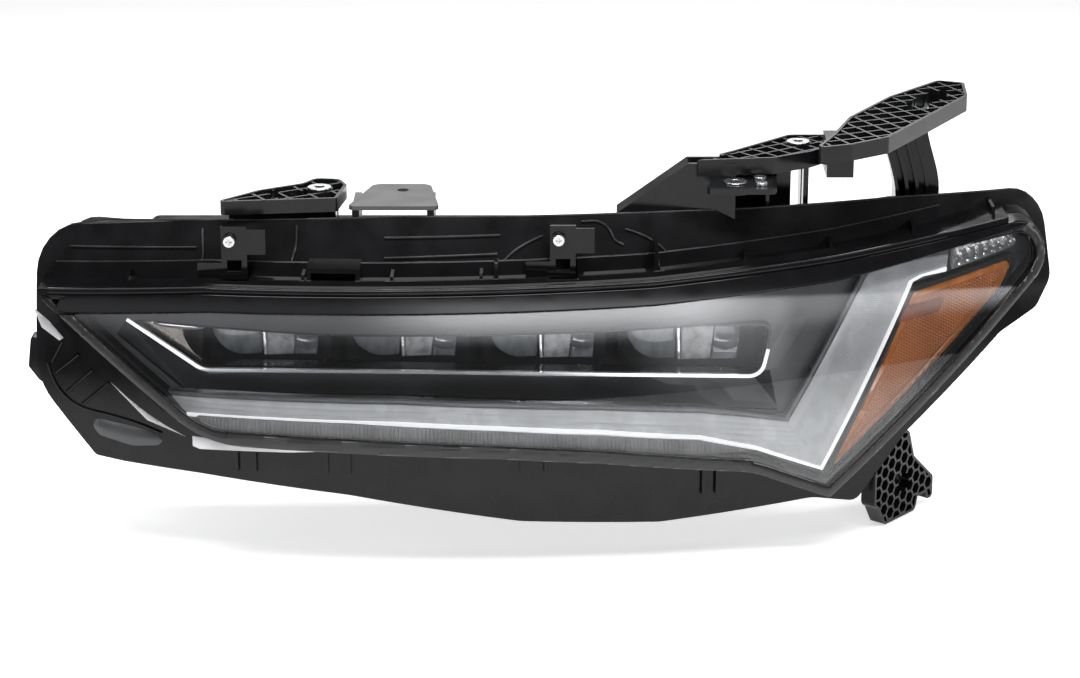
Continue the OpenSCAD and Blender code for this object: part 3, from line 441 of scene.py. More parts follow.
def relief(name, outline, pitch, front, back, slot, body, nodes=(), lattice=None, smooth=True,
           sharp=35.0, as_y=False):
    """Closed panel over an outline: front(points, edge) and back give depths behind the face."""
    ring = np.array(densified([np.array(p, float) for p in outline], pitch))
    low, high = ring.min(0), ring.max(0)
    if lattice is None:
        rows = np.arange(low[1], high[1], pitch * 0.866)
        lattice = np.array([
            (x, z) for k, z in enumerate(rows)
            for x in np.arange(low[0] + (k % 2) * pitch / 2, high[0], pitch)
        ])
    keep = inside(lattice, ring)
    lattice = lattice[keep]
    lattice = lattice[edge_distance(lattice, ring) > pitch * 0.35]
    points = np.vstack([ring, lattice])
    n = len(ring)
    edges = [(i, (i + 1) % n) for i in range(n)]
    flat, _, faces, *_ = geometry.delaunay_2d_cdt(
        [Vector(p) for p in points], edges, [], 1, 1e-5)
    flat = np.array([tuple(p) for p in flat])
    gap = edge_distance(flat, ring)
    f, b = front(flat, gap), back(flat, gap)
    if not as_y:
        f = layer_y(flat[:, 0], flat[:, 1], f)
        b = layer_y(flat[:, 0], flat[:, 1], b)
    verts = [row(x, y, z) for (x, z), y in zip(flat, f)]
    verts += [row(x, y, z) for (x, z), y in zip(flat, b)]
    m = len(flat)
    out = [tuple(q) for q in faces] + [tuple(i + m for i in reversed(q)) for q in faces]
    count = {}
    for q in faces:
        for i, j in zip(q, q[1:] + q[:1]):
            count[(i, j)] = 1
    out += [(j, i, i + m, j + m) for (i, j) in count if (j, i) not in count]
    return piece(name, verts, out, slot, body, nodes, smooth, sharp)


def stations_at(stations, pitch):
    """Upper and lower points and the distance run, at even steps along a band."""
    ups, lows, runs = [], [], []
    run = 0.0
    for (u0, l0), (u1, l1) in zip(stations, stations[1:]):
        u0, u1, l0, l1 = (np.array(v, float) for v in (u0, u1, l0, l1))
        length = np.linalg.norm((u1 + l1) / 2 - (u0 + l0) / 2)
        n = max(1, round(length / pitch))
        for k in range(n):
            t = k / n
            ups.append(u0 + (u1 - u0) * t)
            lows.append(l0 + (l1 - l0) * t)
            runs.append(run + length * t)
        run += length
    ups.append(np.array(stations[-1][0], float))
    lows.append(np.array(stations[-1][1], float))
    runs.append(run)
    return np.array(ups), np.array(lows), np.array(runs)


def band(name, stations, pitch, across, front, back, slot, body, nodes=(), t0=0.0, t1=1.0,
         smooth=True, sharp=40.0):
    """Closed ribbon between a band's two edges; front(run, t, width) gives depths behind the face."""
    ups, lows, runs = stations_at(stations, pitch)
    ts = np.linspace(t0, t1, across + 1)
    grid = ups[:, None, :] + (lows - ups)[:, None, :] * ts[None, :, None]
    width = np.linalg.norm(lows - ups, axis=1)
    deep = front(runs[:, None] + 0 * ts[None, :], 0 * runs[:, None] + ts[None, :], width[:, None])
    x, z = grid[..., 0], grid[..., 1]
    n, m = x.shape
    verts = [row(*p) for p in zip(x.ravel(), layer_y(x, z, deep).ravel(), z.ravel())]
    verts += [row(*p) for p in zip(x.ravel(), layer_y(x, z, back + 0 * deep).ravel(), z.ravel())]
    half = n * m
    faces = []
    for i in range(n - 1):
        for j in range(m - 1):
            a = i * m + j
            faces.append((a, a + 1, a + m + 1, a + m))
            faces.append((half + a, half + a + m, half + a + m + 1, half + a + 1))
        a, c = i * m, i * m + m - 1
        faces.append((a, a + m, half + a + m, half + a))
        faces.append((c, half + c, half + c + m, c + m))
    for j in range(m - 1):
        a, c = j, (n - 1) * m + j
        faces.append((a, half + a, half + a + 1, a + 1))
        faces.append((c, c + 1, half + c + 1, half + c))
    return piece(name, verts, faces, slot, body, nodes, smooth, sharp)


def tube(name, path, radius, slot, body, nodes=(), sides=10, flat=1.0):
    """Smooth closed tube along layout points."""
    pts = [Vector(row(*p)) for p in path]
    verts, faces = [], []
    for i, p in enumerate(pts):
        t = (pts[min(i + 1, len(pts) - 1)] - pts[max(i - 1, 0)]).normalized()
        side = t.cross(Vector((0, 1, 0))).normalized()
        up = side.cross(t).normalized()
        for k in range(sides):
            a = 2 * math.pi * k / sides
            verts.append(p + (side * math.cos(a) + up * math.sin(a) * flat) * radius / 1000)
    for i in range(len(pts) - 1):
        for k in range(sides):
            a, b = i * sides + k, i * sides + (k + 1) % sides
            faces.append((a, b, b + sides, a + sides))
    faces.append(tuple(range(sides)))
    faces.append(tuple((len(pts) - 1) * sides + k for k in reversed(range(sides))))
    return piece(name, verts, faces, slot, body, nodes)


# ---- Outer lens and its rim ------------------------------------------------------------------


def eased(edge, size, depth):
    """Rounded fall-away within size of the edge."""
    t = np.clip(1 - edge / size, 0, 1)
    return depth * (1 - np.sqrt(np.clip(1 - t * t, 0, 1)))


SIDE_DEEP = 7.0


def lens_top(x):
    """Height of the lens's upper outline at x."""
    return np.interp(x, [p[0] for p in LENS[:5]], [p[1] for p in LENS[:5]])


def top_line(x):
    """Height of the window's upper edge, below the rim's top bar."""
    return np.interp(x, [p[0] for p in LENS[:5]], [p[1] - d for p, d in zip(LENS, RIM_TOP)])


def low_line(x):
    """Height of the window's lower edge, above the rim's lower bar."""
    ends = list(zip(LENS[6:], RIM_LOW))[::-1]
    return np.interp(x, [p[0] for p, _ in ends], [p[1] + d for p, d in ends])


def inset(ring, amount):
    """The ring moved inward by amount."""
    ring = np.array(ring)
    ahead = np.roll(ring, -1, axis=0) - np.roll(ring, 1, axis=0)
    ahead /= np.linalg.norm(ahead, axis=1)[:, None]
    turn = np.sum(ring[:, 0] * np.roll(ring[:, 1], -1) - np.roll(ring[:, 0], -1) * ring[:, 1])
    side = np.stack([-ahead[:, 1], ahead[:, 0]], 1) * (1 if turn > 0 else -1)
    moved = ring + side * amount
    keep = edge_distance(moved, ring) > amount - 0.25
    return moved[keep]


def tag_run(ring, mask):
    """The longest run of the closed ring where mask holds, in ring order."""
    start = next(i for i in range(len(ring)) if mask[i] and not mask[i - 1])
    out = []
    for k in range(len(ring)):
        i = (start + k) % len(ring)
        if not mask[i]:
            break
        out.append(ring[i])
    return out


lens_ring = np.array(densified(rounded(LENS, 14), 2.5))
above = lens_ring[:, 1] > top_line(lens_ring[:, 0])
crest = tag_run(lens_ring, above)
flank = tag_run(lens_ring, ~above)
inner = inset(lens_ring, SIDE_DEEP)
in_x, in_z = inner.T
inner[:, 1] = np.where((in_x > 118) & (in_x < 500) & (in_z < -60), np.maximum(in_z, low_line(in_x)), in_z)
under = tag_run(inner, inner[:, 1] < top_line(inner[:, 0]))
xs = np.linspace(crest[0][0], crest[-1][0], 240)
border = [np.array([x, top_line(x)]) for x in xs]
window_top = [p for p in border if under[-1][0] < p[0] < under[0][0]]


def rim_depth(points, edge):
    """Flush face with a rounded border."""
    return np.clip(eased(edge, 1.2, 1.2), 0, 1.2)


relief("lens_window", window_top + under, 3.2, lambda p, e: 0 * e + 0.02,
       lambda p, e: 0 * e + 3.0, "lens_clear", "lamp_body", ["outer_lens"])
crest_x, crest_z = np.array(crest)[np.argsort([p[0] for p in crest])].T
RIM_STRIP = [((x, np.interp(x, crest_x, crest_z)), (x, max(top_line(x), -7 - (x + 2) * 94.5 / 120)))
             for x in np.linspace(crest_x[0] + 0.4, crest_x[-1] - 1.5, 200)]


def strip_rim(run, t, width):
    """Flat band whose two long edges fall away."""
    return eased(np.minimum(t, 1 - t) * width, 0.9, 0.9)


band("lens_rim_top", RIM_STRIP, 4.0, 24, strip_rim, 3, "rim_gloss", "lamp_body", ["lens_frame"])
relief("lens_rim_side", flank + under[::-1], 2.5, rim_depth, lambda p, e: 3 + 0 * e,
       "rim_satin", "lamp_body")


def loop_wall(name, ring, thick, d0, d1, slot):
    """Wall of a closed ring, thick inward, between two depths."""
    a = np.array(ring)
    ahead = np.roll(a, -1, axis=0) - np.roll(a, 1, axis=0)
    ahead /= np.linalg.norm(ahead, axis=1)[:, None]
    turn = np.sum(a[:, 0] * np.roll(a[:, 1], -1) - np.roll(a[:, 0], -1) * a[:, 1])
    b = a + np.stack([-ahead[:, 1], ahead[:, 0]], 1) * (thick if turn > 0 else -thick)
    n = len(a)
    verts = [row(x, layer_y(x, z, d), z) for d in (d0, d1) for ring in (a, b) for x, z in ring]
    faces = []
    for i in range(n):
        j = (i + 1) % n
        faces += [(i, j, n + j, n + i), (2 * n + i, 3 * n + i, 3 * n + j, 2 * n + j),
                  (i, 2 * n + i, 2 * n + j, j), (n + i, n + j, 3 * n + j, 3 * n + i)]
    return piece(name, verts, faces, slot, "lamp_body")


loop_wall("lens_skirt", inset(lens_ring, 0.8), 2.6, 2.9, 17.9, "rim_satin")
skin("lens_seal", 0.3)
tube("lens_rim_bead", [(x, layer_y(x, z, -0.15) + 0.35, z) for x, z in under[2:-2]], 0.45,
     "rim_gloss", "lamp_body", sides=8)

# ---- Running-light band, turn strip, corner cell and side reflex -------------------------------

LINE_W = 3.0
EDGE_W = 3.6


def long_depth(run, t, width):
    """Grooves along the band with one row of small prisms."""
    across = t * width
    grooves = 0.35 * np.abs(np.sin(math.pi * across / 4.4)) + 0.1 * np.abs(np.sin(math.pi * across / 1.1))
    prisms = 0.35 * np.abs(np.sin(math.pi * run / 1.4)) * (np.abs(across - width * 0.72) < 1.3)
    return 15.2 - grooves - prisms + 0.6 * (across > width - 1.2)


def leg_depth(run, t, width):
    """Fine cross flutes between two smooth margins."""
    middle = np.clip(np.minimum(t - 0.14, 0.86 - t) / 0.05, 0, 1)
    flutes = 0.42 * np.abs(np.sin(math.pi * run / 1.6))
    rows = 0.22 * np.abs(np.sin(math.pi * t * width / 2.4))
    return 15.0 - middle * (flutes + rows) - 0.5 * np.abs(np.sin(math.pi * t * 3)) * (1 - middle)


def between(stations, from_top, from_low):
    """The band with both edges pulled in."""
    out = []
    for u, l in stations:
        u, l = np.array(u, float), np.array(l, float)
        w = np.linalg.norm(l - u)
        out.append((u + (l - u) * from_top / w, l + (u - l) * from_low / w))
    return out


def slim(stations, start, width):
    """A ribbon of the given width that begins start below the band's upper edge."""
    out = []
    for u, l in stations:
        u, l = np.array(u, float), np.array(l, float)
        w = np.linalg.norm(l - u)
        out.append((u + (l - u) * start / w, u + (l - u) * (start + width) / w))
    return out


band("running_light_long", between(BAND[: LEG + 1], EDGE_W + 0.5, LINE_W + 0.3), 0.5, 40, long_depth,
     19.5, "light_guide", "lamp_body", ["drl_light_guide"], smooth=True, sharp=50)
band("running_light_leg", between(BAND[LEG:], EDGE_W + 0.5, LINE_W + 0.3), 0.4, 56, leg_depth,
     19.5, "light_guide", "lamp_body", smooth=True, sharp=50)
band("guide_edge", slim(BAND, 0, EDGE_W), 1.5, 12,
     lambda run, t, w: 15.4 - 0.8 * np.sin(math.pi * t), 19.5, "guide_edge", "lamp_body")
band("guide_seam", slim(BAND, EDGE_W, 0.5), 1.5, 2, lambda run, t, w: 16.2 + 0 * t, 19.5,
     "seal_rubber", "lamp_body")

LINE = []
for (u, l) in BAND:
    u, l = np.array(u, float), np.array(l, float)
    LINE.append((l + (u - l) * LINE_W / np.linalg.norm(l - u), l))
band("signature_bead", LINE, 2.0, 10,
     lambda run, t, w: 13 + 2.2 * (1 - np.sqrt(np.clip(1 - (2 * t - 1) ** 2, 0, 1))), 19,
     "signature_white", "lamp_body", ["signature_line"])


def strip_depth(run, t, width):
    """Cross flutes that fade towards both edges."""
    fade = np.sin(math.pi * np.clip(t, 0, 1)) ** 0.5
    return 9.0 - 0.75 * fade * np.abs(np.sin(math.pi * run / 2.7)) - 0.1 * np.sin(math.pi * t)


band("turn_strip", TURN, 0.35, 14, strip_depth, 10, "turn_smoke", "lamp_body", ["turn_lens"])
skin("drl_reflector", 0.2)
skin("turn_reflector", 0.2)


def hexagons(low, high, size):
    """Triangular lattice whose every third point is the middle of a hexagon."""
    pts, middle = [], []
    step = size / math.sqrt(3)
    rows = int((high[1] - low[1]) / (step * 0.866)) + 2
    cols = int((high[0] - low[0]) / step) + 2
    for r in range(rows):
        for c in range(-rows // 2 - 1, cols):
            pts.append((low[0] + step * (c + r / 2), low[1] + step * 0.866 * r))
            middle.append((c - r) % 3 == 0)
    return np.array(pts), np.array(middle)


marker_ring = rounded(MARKER)
ring_array = np.array(marker_ring)
hex_points, hex_middle = hexagons(ring_array.min(0), ring_array.max(0), 2.3)
peaks = {(round(x, 3), round(z, 3)) for (x, z), m in zip(hex_points, hex_middle) if m}


def reflex_depth(points, edge):
    raised = np.array([(round(x, 3), round(z, 3)) in peaks for x, z in points])
    return 15.0 - np.where((edge > 1) & raised, 0.6, 0.0) + eased(edge, 0.8, 0.5)


marker_inner = inset(np.array(densified(marker_ring, 1.5)), 4.2)
relief("side_reflex", list(marker_inner), 1.1, reflex_depth, lambda p, e: 17 + 0 * e,
       "amber_reflex", "lamp_body", ["side_marker_reflex"], lattice=hex_points, smooth=True, sharp=12)
relief("side_reflex_base", marker_ring, 2.5, lambda p, e: 16.0 - 1.1 * np.clip(1 - e / 4.2, 0, 1)
       + eased(e, 1.4, 1.3), lambda p, e: 17.4 + 0 * e, "amber_edge", "lamp_body", sharp=20)
relief("side_reflex_window",
       rounded([(613, -30.5, 1), (643, -27.5, 1), (637, -37.5, 1), (606, -41.5, 1)]), 2.0,
       lambda p, e: 13.9 + eased(e, 0.6, 0.5), lambda p, e: 16.5 + 0 * e, "amber_dark", "lamp_body")
skin("side_marker_tray", 0.3)


def corner_depth(points, edge):
    x, z = points[:, 0], points[:, 1]
    cell = np.abs(((x + 0.5 * z) / 7.0) % 1 - 0.5) * 2
    return 15.0 + 4.5 * np.clip(edge / 5, 0, 1) - 2.2 * cell * np.clip(edge / 3, 0, 1)


relief("corner_cell", rounded(CORNER), 0.9, corner_depth, lambda p, e: 23.7 + 0 * e,
       "bright_chrome", "lamp_body", ["corner_reflector"], sharp=22)

# ---- Projector optics --------------------------------------------------------------------------

UNIT_X, UNIT_PITCH, UNIT_Y = 115.5, 98.5, 86.0


def rounded_box(x0, x1, z0, z1, r=2):
    return rounded([(x0, z1, r), (x1, z1, r), (x1, z0, r), (x0, z0, r)], 4)


def flat_at(y):
    return lambda p, e: y + 0 * e


def optic(name, outline, pitch, front, slot, nodes=(), back=104.7):
    return relief(name, outline, pitch, front, flat_at(back), slot, "projector_carrier", nodes,
                  as_y=True)


for i in range(4):
    x = UNIT_X + UNIT_PITCH * i
    low = -62 - 1.2 * i
    wide = 43 if i == 3 else 38
    n = i + 1

    def dome(p, e, x=x):
        r2 = (p[:, 0] - x - 18) ** 2 + (p[:, 1] + 43) ** 2
        return UNIT_Y + 66 - np.sqrt(66.0**2 - r2) + eased(e, 1.6, 1.6)

    optic(f"projector_dome_{n}",
          rounded([(x, -24, 3), (x + 35.4, -24, 1), (x + 35.4, low, 1), (x, low, 24)], 10),
          1.3, dome, "projector_glass", [f"projector_lens_{n}"])
    optic(f"projector_flange_{n}", rounded_box(x - 3.5, x + 38, -70, -19.5), 4,
          lambda p, e: 104.75 + eased(e, 0.6, 0.6), "carrier_grey", back=107.3)
    optic(f"lens_blade_{n}",
          [(x + 35.8, -24.2), (x + 38.2, -24.2), (x + 39.6, low + 0.4), (x + 37.2, low + 0.4)], 0.7,
          lambda p, e: 88.2 + eased(e, 0.5, 0.5), "bright_chrome", back=104)
    b = x + 40
    split = b + wide * 0.52

    def frosted(p, e, b=b):
        fine = 0.16 * np.abs(np.sin(math.pi * (p[:, 1] + 0.08 * p[:, 0]) / 1.7))
        return 89.2 + 0.12 * (p[:, 0] - b) - fine + eased(e, 0.8, 0.8)

    def hollow(p, e, c=split + 9):
        r2 = ((p[:, 0] - c) / 14) ** 2 + ((p[:, 1] + 43) / 15) ** 2
        return 90.2 + 5.5 * np.sqrt(np.clip(1 - r2, 0, 1)) + eased(e, 0.8, 0.8)

    optic(f"block_prism_{n}", [(b, -26), (split + 2.5, -26), (split - 1.5, low), (b, low)],
          0.8, frosted, "frosted_guide", [f"block_lens_{n}"])
    optic(f"block_bowl_{n}",
          [(split + 2.9, -26), (b + wide, -26), (b + wide - 3, low), (split - 1.1, low)],
          1.0, hollow, "projector_glass")
    optic(f"block_flange_{n}", rounded_box(x + 38.5, x + 84.5, -70, -19.5), 4,
          lambda p, e: 104.75 + eased(e, 0.6, 0.6), "carrier_grey", back=107.3)
    if i < 3:
        for k, dx in enumerate((1.6, 5.4)):
            r = b + wide + dx
            optic(f"spacer_rib_{n}_{k + 1}",
                  [(r, -25), (r + 1.5, -25), (r + 5.0, -46), (r + 3.6, -46)], 0.7,
                  lambda p, e: 93 + eased(e, 0.4, 0.4), "rib_silver", back=104.6)

# ---- The trough's ends, its bright edge and a painted highlight at its left end ----------------

bead = skin("chrome_strip", 0)
tidy = bmesh.new()
tidy.from_mesh(bead.data)
tidy.normal_update()
for v, n in [(v, v.normal.copy()) for v in tidy.verts]:
    v.co += n * 0.0006
tidy.to_mesh(bead.data)
tidy.free()


def ellipse(middle, half, slope):
    """Closed ellipse of half axes half, sheared upward by slope."""
    turns = np.linspace(0, 2 * math.pi, 24, endpoint=False)
    return [(middle[0] + half[0] * math.cos(a),
             middle[1] + half[1] * math.sin(a) + slope * half[0] * math.cos(a)) for a in turns]


def bend(a, toward, b, count=7):
    """Points on the quadratic curve from a to b that leans toward the middle point."""
    t = np.linspace(0, 1, count)[:, None]
    return list((1 - t) ** 2 * np.array(a) + 2 * t * (1 - t) * np.array(toward) + t**2 * np.array(b))


def about(middle, offsets):
    """Front-view points given as offsets from a middle."""
    return [(middle[0] + x, middle[1] + z) for x, z in offsets]


# A bright chrome spindle at the trough's left end: a painted highlight, put where there is only a bright
# reflection.
relief("painted_trough_highlight", ellipse((95, -32), (18.5, 3), -0.1), 1.2,
       lambda p, e: 66.0 - 1.6 * np.sqrt(np.clip(e / 2.2, 0, 1)),
       flat_at(67.0), "bright_chrome", "lamp_body", as_y=True)
relief("trough_end_facet", [(525, -32), (543, -30), (520, -66), (504, -67)], 3.0,
       lambda p, e: 23.8 + eased(e, 0.6, 0.4), lambda p, e: 25.5 + 0 * e, "facet_grey", "lamp_body")


def face_tube(name, points, depth, radius, slot, flat=1.0, step=2.5):
    """Bead laid on the layer at depth, through front-view points."""
    path = []
    for a, b in zip(points, points[1:]):
        a, b = np.array(a, float), np.array(b, float)
        n = max(1, math.ceil(np.linalg.norm(b - a) / step))
        path += [a + (b - a) * k / n for k in range(n)]
    path.append(np.array(points[-1], float))
    for _ in range(3):
        path = [path[0]] + [(p + q + r) / 3 for p, q, r in zip(path, path[1:], path[2:])] + [path[-1]]
    return tube(name, [(x, float(layer_y(x, z, depth)), z) for x, z in path], radius, slot,
                "lamp_body", sides=8, flat=flat)


face_tube("trough_end_arc", bend((573, -18), (560, -64), (535, -69)), 23.8, 0.45, "facet_grey")

# ---- The cowl's lip and the edges that catch the light on it, with painted highlights on their beads ---

LIP_LOW, LIP_HIGH = 0.8, 4.3


def lip_depth(run, t, width):
    """Lip whose middle stands proud and whose two edges fall away."""
    beyond = np.clip(np.abs(2 * t - 1) - 0.35, 0, 1)
    return -0.15 + 1.3 * (1 - np.sqrt(np.clip(1 - beyond**2 / 0.43, 0, 1)))


LIP = [((x, lens_top(x) + LIP_HIGH), (x, lens_top(x) + LIP_LOW)) for x in np.arange(6, 648, 6.0)]
band("cowl_lip", LIP, 3.0, 12, lip_depth, 2.6, "cowl_gloss", "lamp_body")
TOP_Z = [(x, float(lens_top(x))) for x in range(6, 645, 6)]
# Beads on the lip, the rib and the flange top: real edges, coloured lighter as painted highlight lines.
face_tube("cowl_lip_edge", [(x, z + LIP_HIGH - 0.2) for x, z in TOP_Z], 0.5, 0.55, "painted_edge_highlight")
face_tube("cowl_rib_edge", [(x, z + 12.0) for x, z in TOP_Z], 34.0, 0.6, "painted_edge_highlight")
face_tube("flange_edge", [(16, 29), (40, 34), (109, 37), (250, 42), (430, 40), (612, 35), (690, 29.4)],
          38.0, 0.75, "painted_edge_highlight")

# Raised edges of the ledge and of the clip posts, on the flange, coloured lighter as painted highlights
LEDGE_DEPTH, LEDGE_RADIUS = 36.6, 0.8
POST_1, POST_2 = (137, 20), (366, 21)
ARCH_FOOT, ARCH_WIDE, ARCH_TALL = (212, -2), 17, 14
LEDGE_LINES = {
    "post_web_2": about(POST_2, bend((-46, -17), (-45, -3), (-14, 8))),
    "post_base_2": about(POST_2, [(-46, -18), (-12, -18)]),
    "hook_rib_2": about(POST_2, [(13, 16), (26, 16), (33, 11), (36, 3), (43, 0)]),
    "corner_rib_2": about(POST_2, bend((44, 10), (70, 3), (78, -13)) + [(74, -16), (44, -11)]),
    "channel_line_1": [(241, 29), (322, 30)],
    "channel_line_2": [(241, 16), (320, 18)],
    "channel_line_0": [(16, 15.5), (108, 20)],
    "frame_1": about(POST_1, [(-25, 12), (-24, -9), (-29, -15)]),
    "frame_2": about(POST_1, [(42, 16), (42, 3), (38, -7), (39, -16)]),
    "arch_rib": [(ARCH_FOOT[0] - ARCH_WIDE * math.cos(a), ARCH_FOOT[1] + ARCH_TALL * math.sin(a))
                 for a in np.linspace(0, math.pi, 13)],
    "rear_line": bend((449, 10), (536, 15), (623, 22)),
}
for name, line in LEDGE_LINES.items():
    face_tube(name, line, LEDGE_DEPTH, LEDGE_RADIUS, "painted_edge_highlight")

# ---- Ribs and panels below and beside the lens, and painted glints on the skirt ----------------

FINS = [((10, -49), (2, -64)), ((22, -57), (5, -71)), ((32, -67), (13, -84)), ((44, -75), (24, -92))]
for k, (a, b) in enumerate(FINS, 1):
    face_tube(f"end_fin_{k}", [a, b], 37.2, 1.1, "housing_plastic")
RIDGE_CORNER = (30, -96)
face_tube("end_ridge", bend((-1, -65), (6, -92), RIDGE_CORNER)
          + bend(RIDGE_CORNER, (62, -100), (82, -109))[1:], 37.4, 1.0, "housing_plastic")
relief("end_panel", rounded([(26, -100, 5), (52, -104, 12), (83, -109, 8), (82, -118, 6), (60, -120, 14),
                             (36, -114, 8)]), 2.5,
       lambda p, e: 37.9 - 3.2 * np.sqrt(np.clip(e / 8, 0, 1)), lambda p, e: 38.4 + 0 * e,
       "carrier_grey", "lamp_body")
# Skirt glints: light grey patches standing in for glints of light on the skirt, i.e. painted highlights.
relief("skirt_glint_1", [(-7.5, -23), (-2, -35), (11, -43), (14, -41), (3, -30)], 2.0,
       lambda p, e: 20 + eased(e, 1, 0.8), lambda p, e: 21.4 + 0 * e, "painted_glint_grey", "lamp_body")
relief("skirt_glint_2", [(74, -94)] + bend((101, -104), (74, -92), (48, -69), 5), 2.0,
       lambda p, e: 20 + eased(e, 1, 0.8), lambda p, e: 21.4 + 0 * e, "painted_glint_grey", "lamp_body")
relief("skirt_glint_3", [(108, -98), (141, -101), (216, -105), (176, -107), (113, -107), (108, -105)],
       2.0,
       lambda p, e: 5 + eased(e, 0.8, 0.6), lambda p, e: 6.4 + 0 * e, "painted_glint_grey", "lamp_body")

# ---- Every other node: its own shape with rounded edges ----------------------------------------

SKINS = {
    "housing": 0.7, "top_cowl": 0.45, "bumper_clips": 0.5, "clip_screws": 0.2, "bezel": 0.4,
    "lower_bezel": 0.3, "projector_shroud": 0.3, "trough_reflector": 0.3,
    "signal_boards": 0.15, "signal_leds": 0.2, "pivot_studs": 0.3, "aim_bushing": 0.3,
    "rear_cover": 0.5, "rear_cover_seal": 0.3, "rear_cover_screws": 0.2, "led_driver": 0.5,
    "driver_screws": 0.2, "main_connector": 0.4, "connector_pins": 0.2, "vent_caps": 0.5,
    "belly_vent": 0.6, "upper_inner_bracket": 0.4, "upper_inner_bush": 0.3, "top_tab": 0.6,
    "upper_outer_bracket": 0.4, "upper_outer_bushes": 0.3, "lower_outer_bracket": 0.3,
    "inner_hook_bracket": 0.5, "bracket_screws": 0.3, "carrier_frame": 0.4, "projector_boards": 0.15,
    "carrier_screws": 0.25, "pivot_sockets": 0.3, "aim_screw": 0.3, "aim_nut": 0.3,
}
for i in range(1, 5):
    SKINS[f"heat_sink_{i}"] = 0.25
for node, width in SKINS.items():
    skin(node, width)

# ---- Floor, light and camera -----------------------------------------------------------------

floor_z = CAD_BOX[0].z - 0.001
mesh = bpy.data.meshes.new("floor")
mesh.from_pydata([(-6, -6, floor_z), (6, -6, floor_z), (6, 6, floor_z), (-6, 6, floor_z)], [],
                 [(0, 1, 2, 3)])
floor = bpy.data.objects.new("floor", mesh)
bpy.context.scene.collection.objects.link(floor)
m, nt, out = new_material("floor")
shader = nt.nodes.new("ShaderNodeBsdfPrincipled")
nt.links.new(blended(nt, spread(nt, noise(nt, 400, 2.0), 0, 1), (0.9, 0.9, 0.9), (0.93, 0.93, 0.93)),
             shader.inputs["Base Color"])
shader.inputs["Roughness"].default_value = 0.9
shader.inputs["Specular IOR Level"].default_value = 0.1
shader.inputs["Emission Color"].default_value = (1, 1, 1, 1)
shader.inputs["Emission Strength"].default_value = 0.55
nt.links.new(shader.outputs[0], out.inputs["Surface"])
mesh.materials.append(m)


def softbox(name, at, aim, width, height, radiance):
    """Rectangular light whose face gives the stated radiance."""
    data = bpy.data.lights.new(name, "AREA")
    data.shape = "RECTANGLE"
    data.size, data.size_y = width, height
    data.energy = radiance * math.pi * width * height
    obj = bpy.data.objects.new(name, data)
    obj.location = at
    obj.rotation_euler = (Vector(aim) - Vector(at)).to_track_quat("-Z", "Y").to_euler()
    bpy.context.scene.collection.objects.link(obj)
    return obj


softbox("front_top", (0.2, -0.9, 1.5), (0.15, 0.0, -0.05), 1.8, 0.4, 20.0)
softbox("top_strip", (0.2, 0.35, 1.1), (0.2, 0.0, 0.0), 1.5, 0.2, 8.0)
softbox("left_strip", (-1.1, -0.3, 0.45), (0.1, 0, -0.05), 0.3, 0.8, 4.0)
softbox("right_strip", (1.5, 0.1, 0.5), (0.3, 0, -0.05), 0.35, 0.8, 5.0)
softbox("rear_box", (0.1, 1.5, 0.7), (0.15, 0.05, -0.05), 1.4, 0.5, 3.0)

world = bpy.data.worlds.new("studio")
bpy.context.scene.world = world
world.use_nodes = True
wt = world.node_tree
wt.nodes.clear()


def curve(tree, value, start, end, low, high):
    """value eased from low to high between start and end."""
    node = tree.nodes.new("ShaderNodeMapRange")
    node.interpolation_type = "SMOOTHSTEP"
    for key, number in zip(("From Min", "From Max", "To Min", "To Max"), (start, end, low, high)):
        node.inputs[key].default_value = number
    tree.links.new(value, node.inputs["Value"])
    return node.outputs["Result"]


def maths(tree, operation, a, b):
    node = tree.nodes.new("ShaderNodeMath")
    node.operation = operation
    for socket, v in zip(node.inputs, (a, b)):
        if isinstance(v, (int, float)):
            socket.default_value = v
        else:
            tree.links.new(v, socket)
    return node.outputs[0]


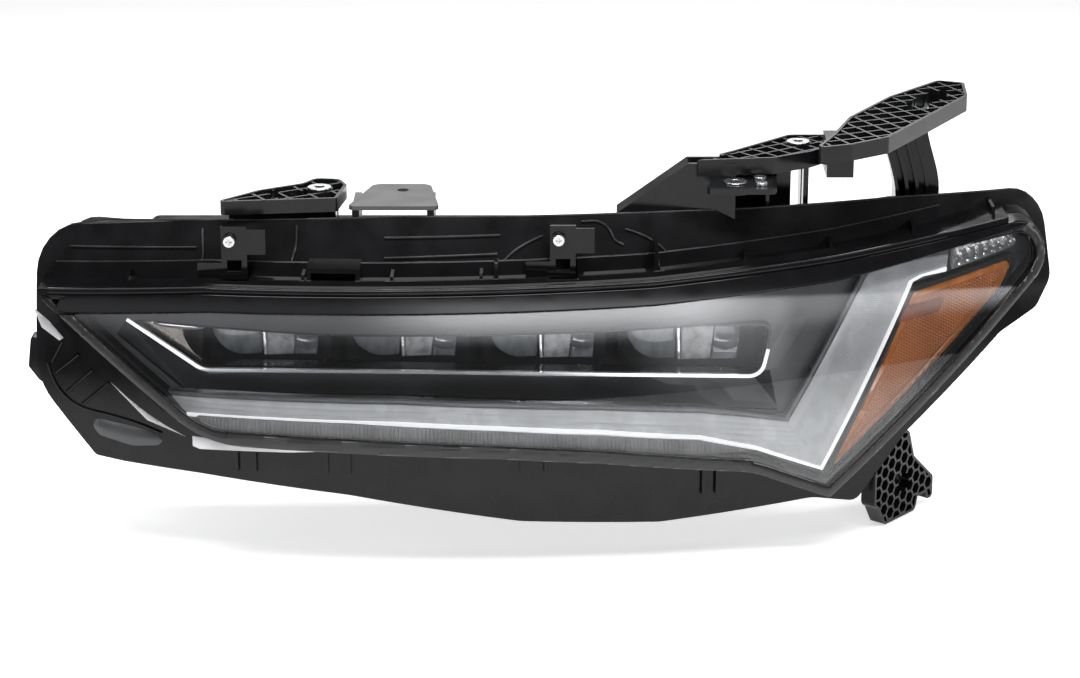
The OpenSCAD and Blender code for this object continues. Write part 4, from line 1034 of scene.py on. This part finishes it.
# A long soft window of light, level with the lens's upper part and strongest right of its middle
place = wt.nodes.new("ShaderNodeTexCoord")
split = wt.nodes.new("ShaderNodeSeparateXYZ")
wt.links.new(place.outputs["Generated"], split.inputs[0])
ahead = maths(wt, "MULTIPLY", split.outputs["Y"], -1)
height = maths(wt, "DIVIDE", split.outputs["Z"], ahead)
sideways = split.outputs["X"]
glow = curve(wt, height, 0.2, 0.37, 0, 1)
glow = maths(wt, "MULTIPLY", glow, curve(wt, height, 0.385, 0.42, 1, 0))
glow = maths(wt, "MULTIPLY", glow, curve(wt, ahead, 0.15, 0.3, 0, 1))
glow = maths(wt, "MULTIPLY", glow, curve(wt, sideways, -0.15, 0.1, 1.2, 7.5))
glow = maths(wt, "MULTIPLY", glow, curve(wt, sideways, 0.45, 0.6, 1, 0.3))
wash = maths(wt, "MULTIPLY", curve(wt, height, -0.15, 0.3, 0, 1), curve(wt, sideways, 0.35, 0.5, 0, 1.8))
wash = maths(wt, "MULTIPLY", wash, curve(wt, sideways, 0.6, 0.64, 1, 0))
wash = maths(wt, "MULTIPLY", wash, curve(wt, height, 0.385, 0.42, 1, 0))
wash = maths(wt, "MULTIPLY", wash, curve(wt, ahead, 0.15, 0.3, 0, 1))
seen = wt.nodes.new("ShaderNodeBackground")
seen.inputs["Color"].default_value = (1, 1, 1, 1)
seen.inputs["Strength"].default_value = 1.0
light = wt.nodes.new("ShaderNodeBackground")
light.inputs["Color"].default_value = (0.97, 0.98, 1, 1)
wt.links.new(maths(wt, "ADD", maths(wt, "ADD", glow, wash), 0.14), light.inputs["Strength"])
ray = wt.nodes.new("ShaderNodeLightPath")
mix = wt.nodes.new("ShaderNodeMixShader")
end = wt.nodes.new("ShaderNodeOutputWorld")
wt.links.new(ray.outputs["Is Camera Ray"], mix.inputs[0])
wt.links.new(light.outputs[0], mix.inputs[1])
wt.links.new(seen.outputs[0], mix.inputs[2])
wt.links.new(mix.outputs[0], end.inputs["Surface"])
bpy.context.scene.view_settings.view_transform = "Standard"

camera = bpy.data.cameras.new("camera")
camera.lens = 100
camera.sensor_width = 36
camera.clip_end = 50
eye = bpy.data.objects.new("camera", camera)
eye.location = (0.157, -2.0647, 0.5578)
eye.rotation_euler = (math.radians(72), 0, 0)
bpy.context.scene.collection.objects.link(eye)
bpy.context.scene.camera = eye

bpy.context.view_layer.update()
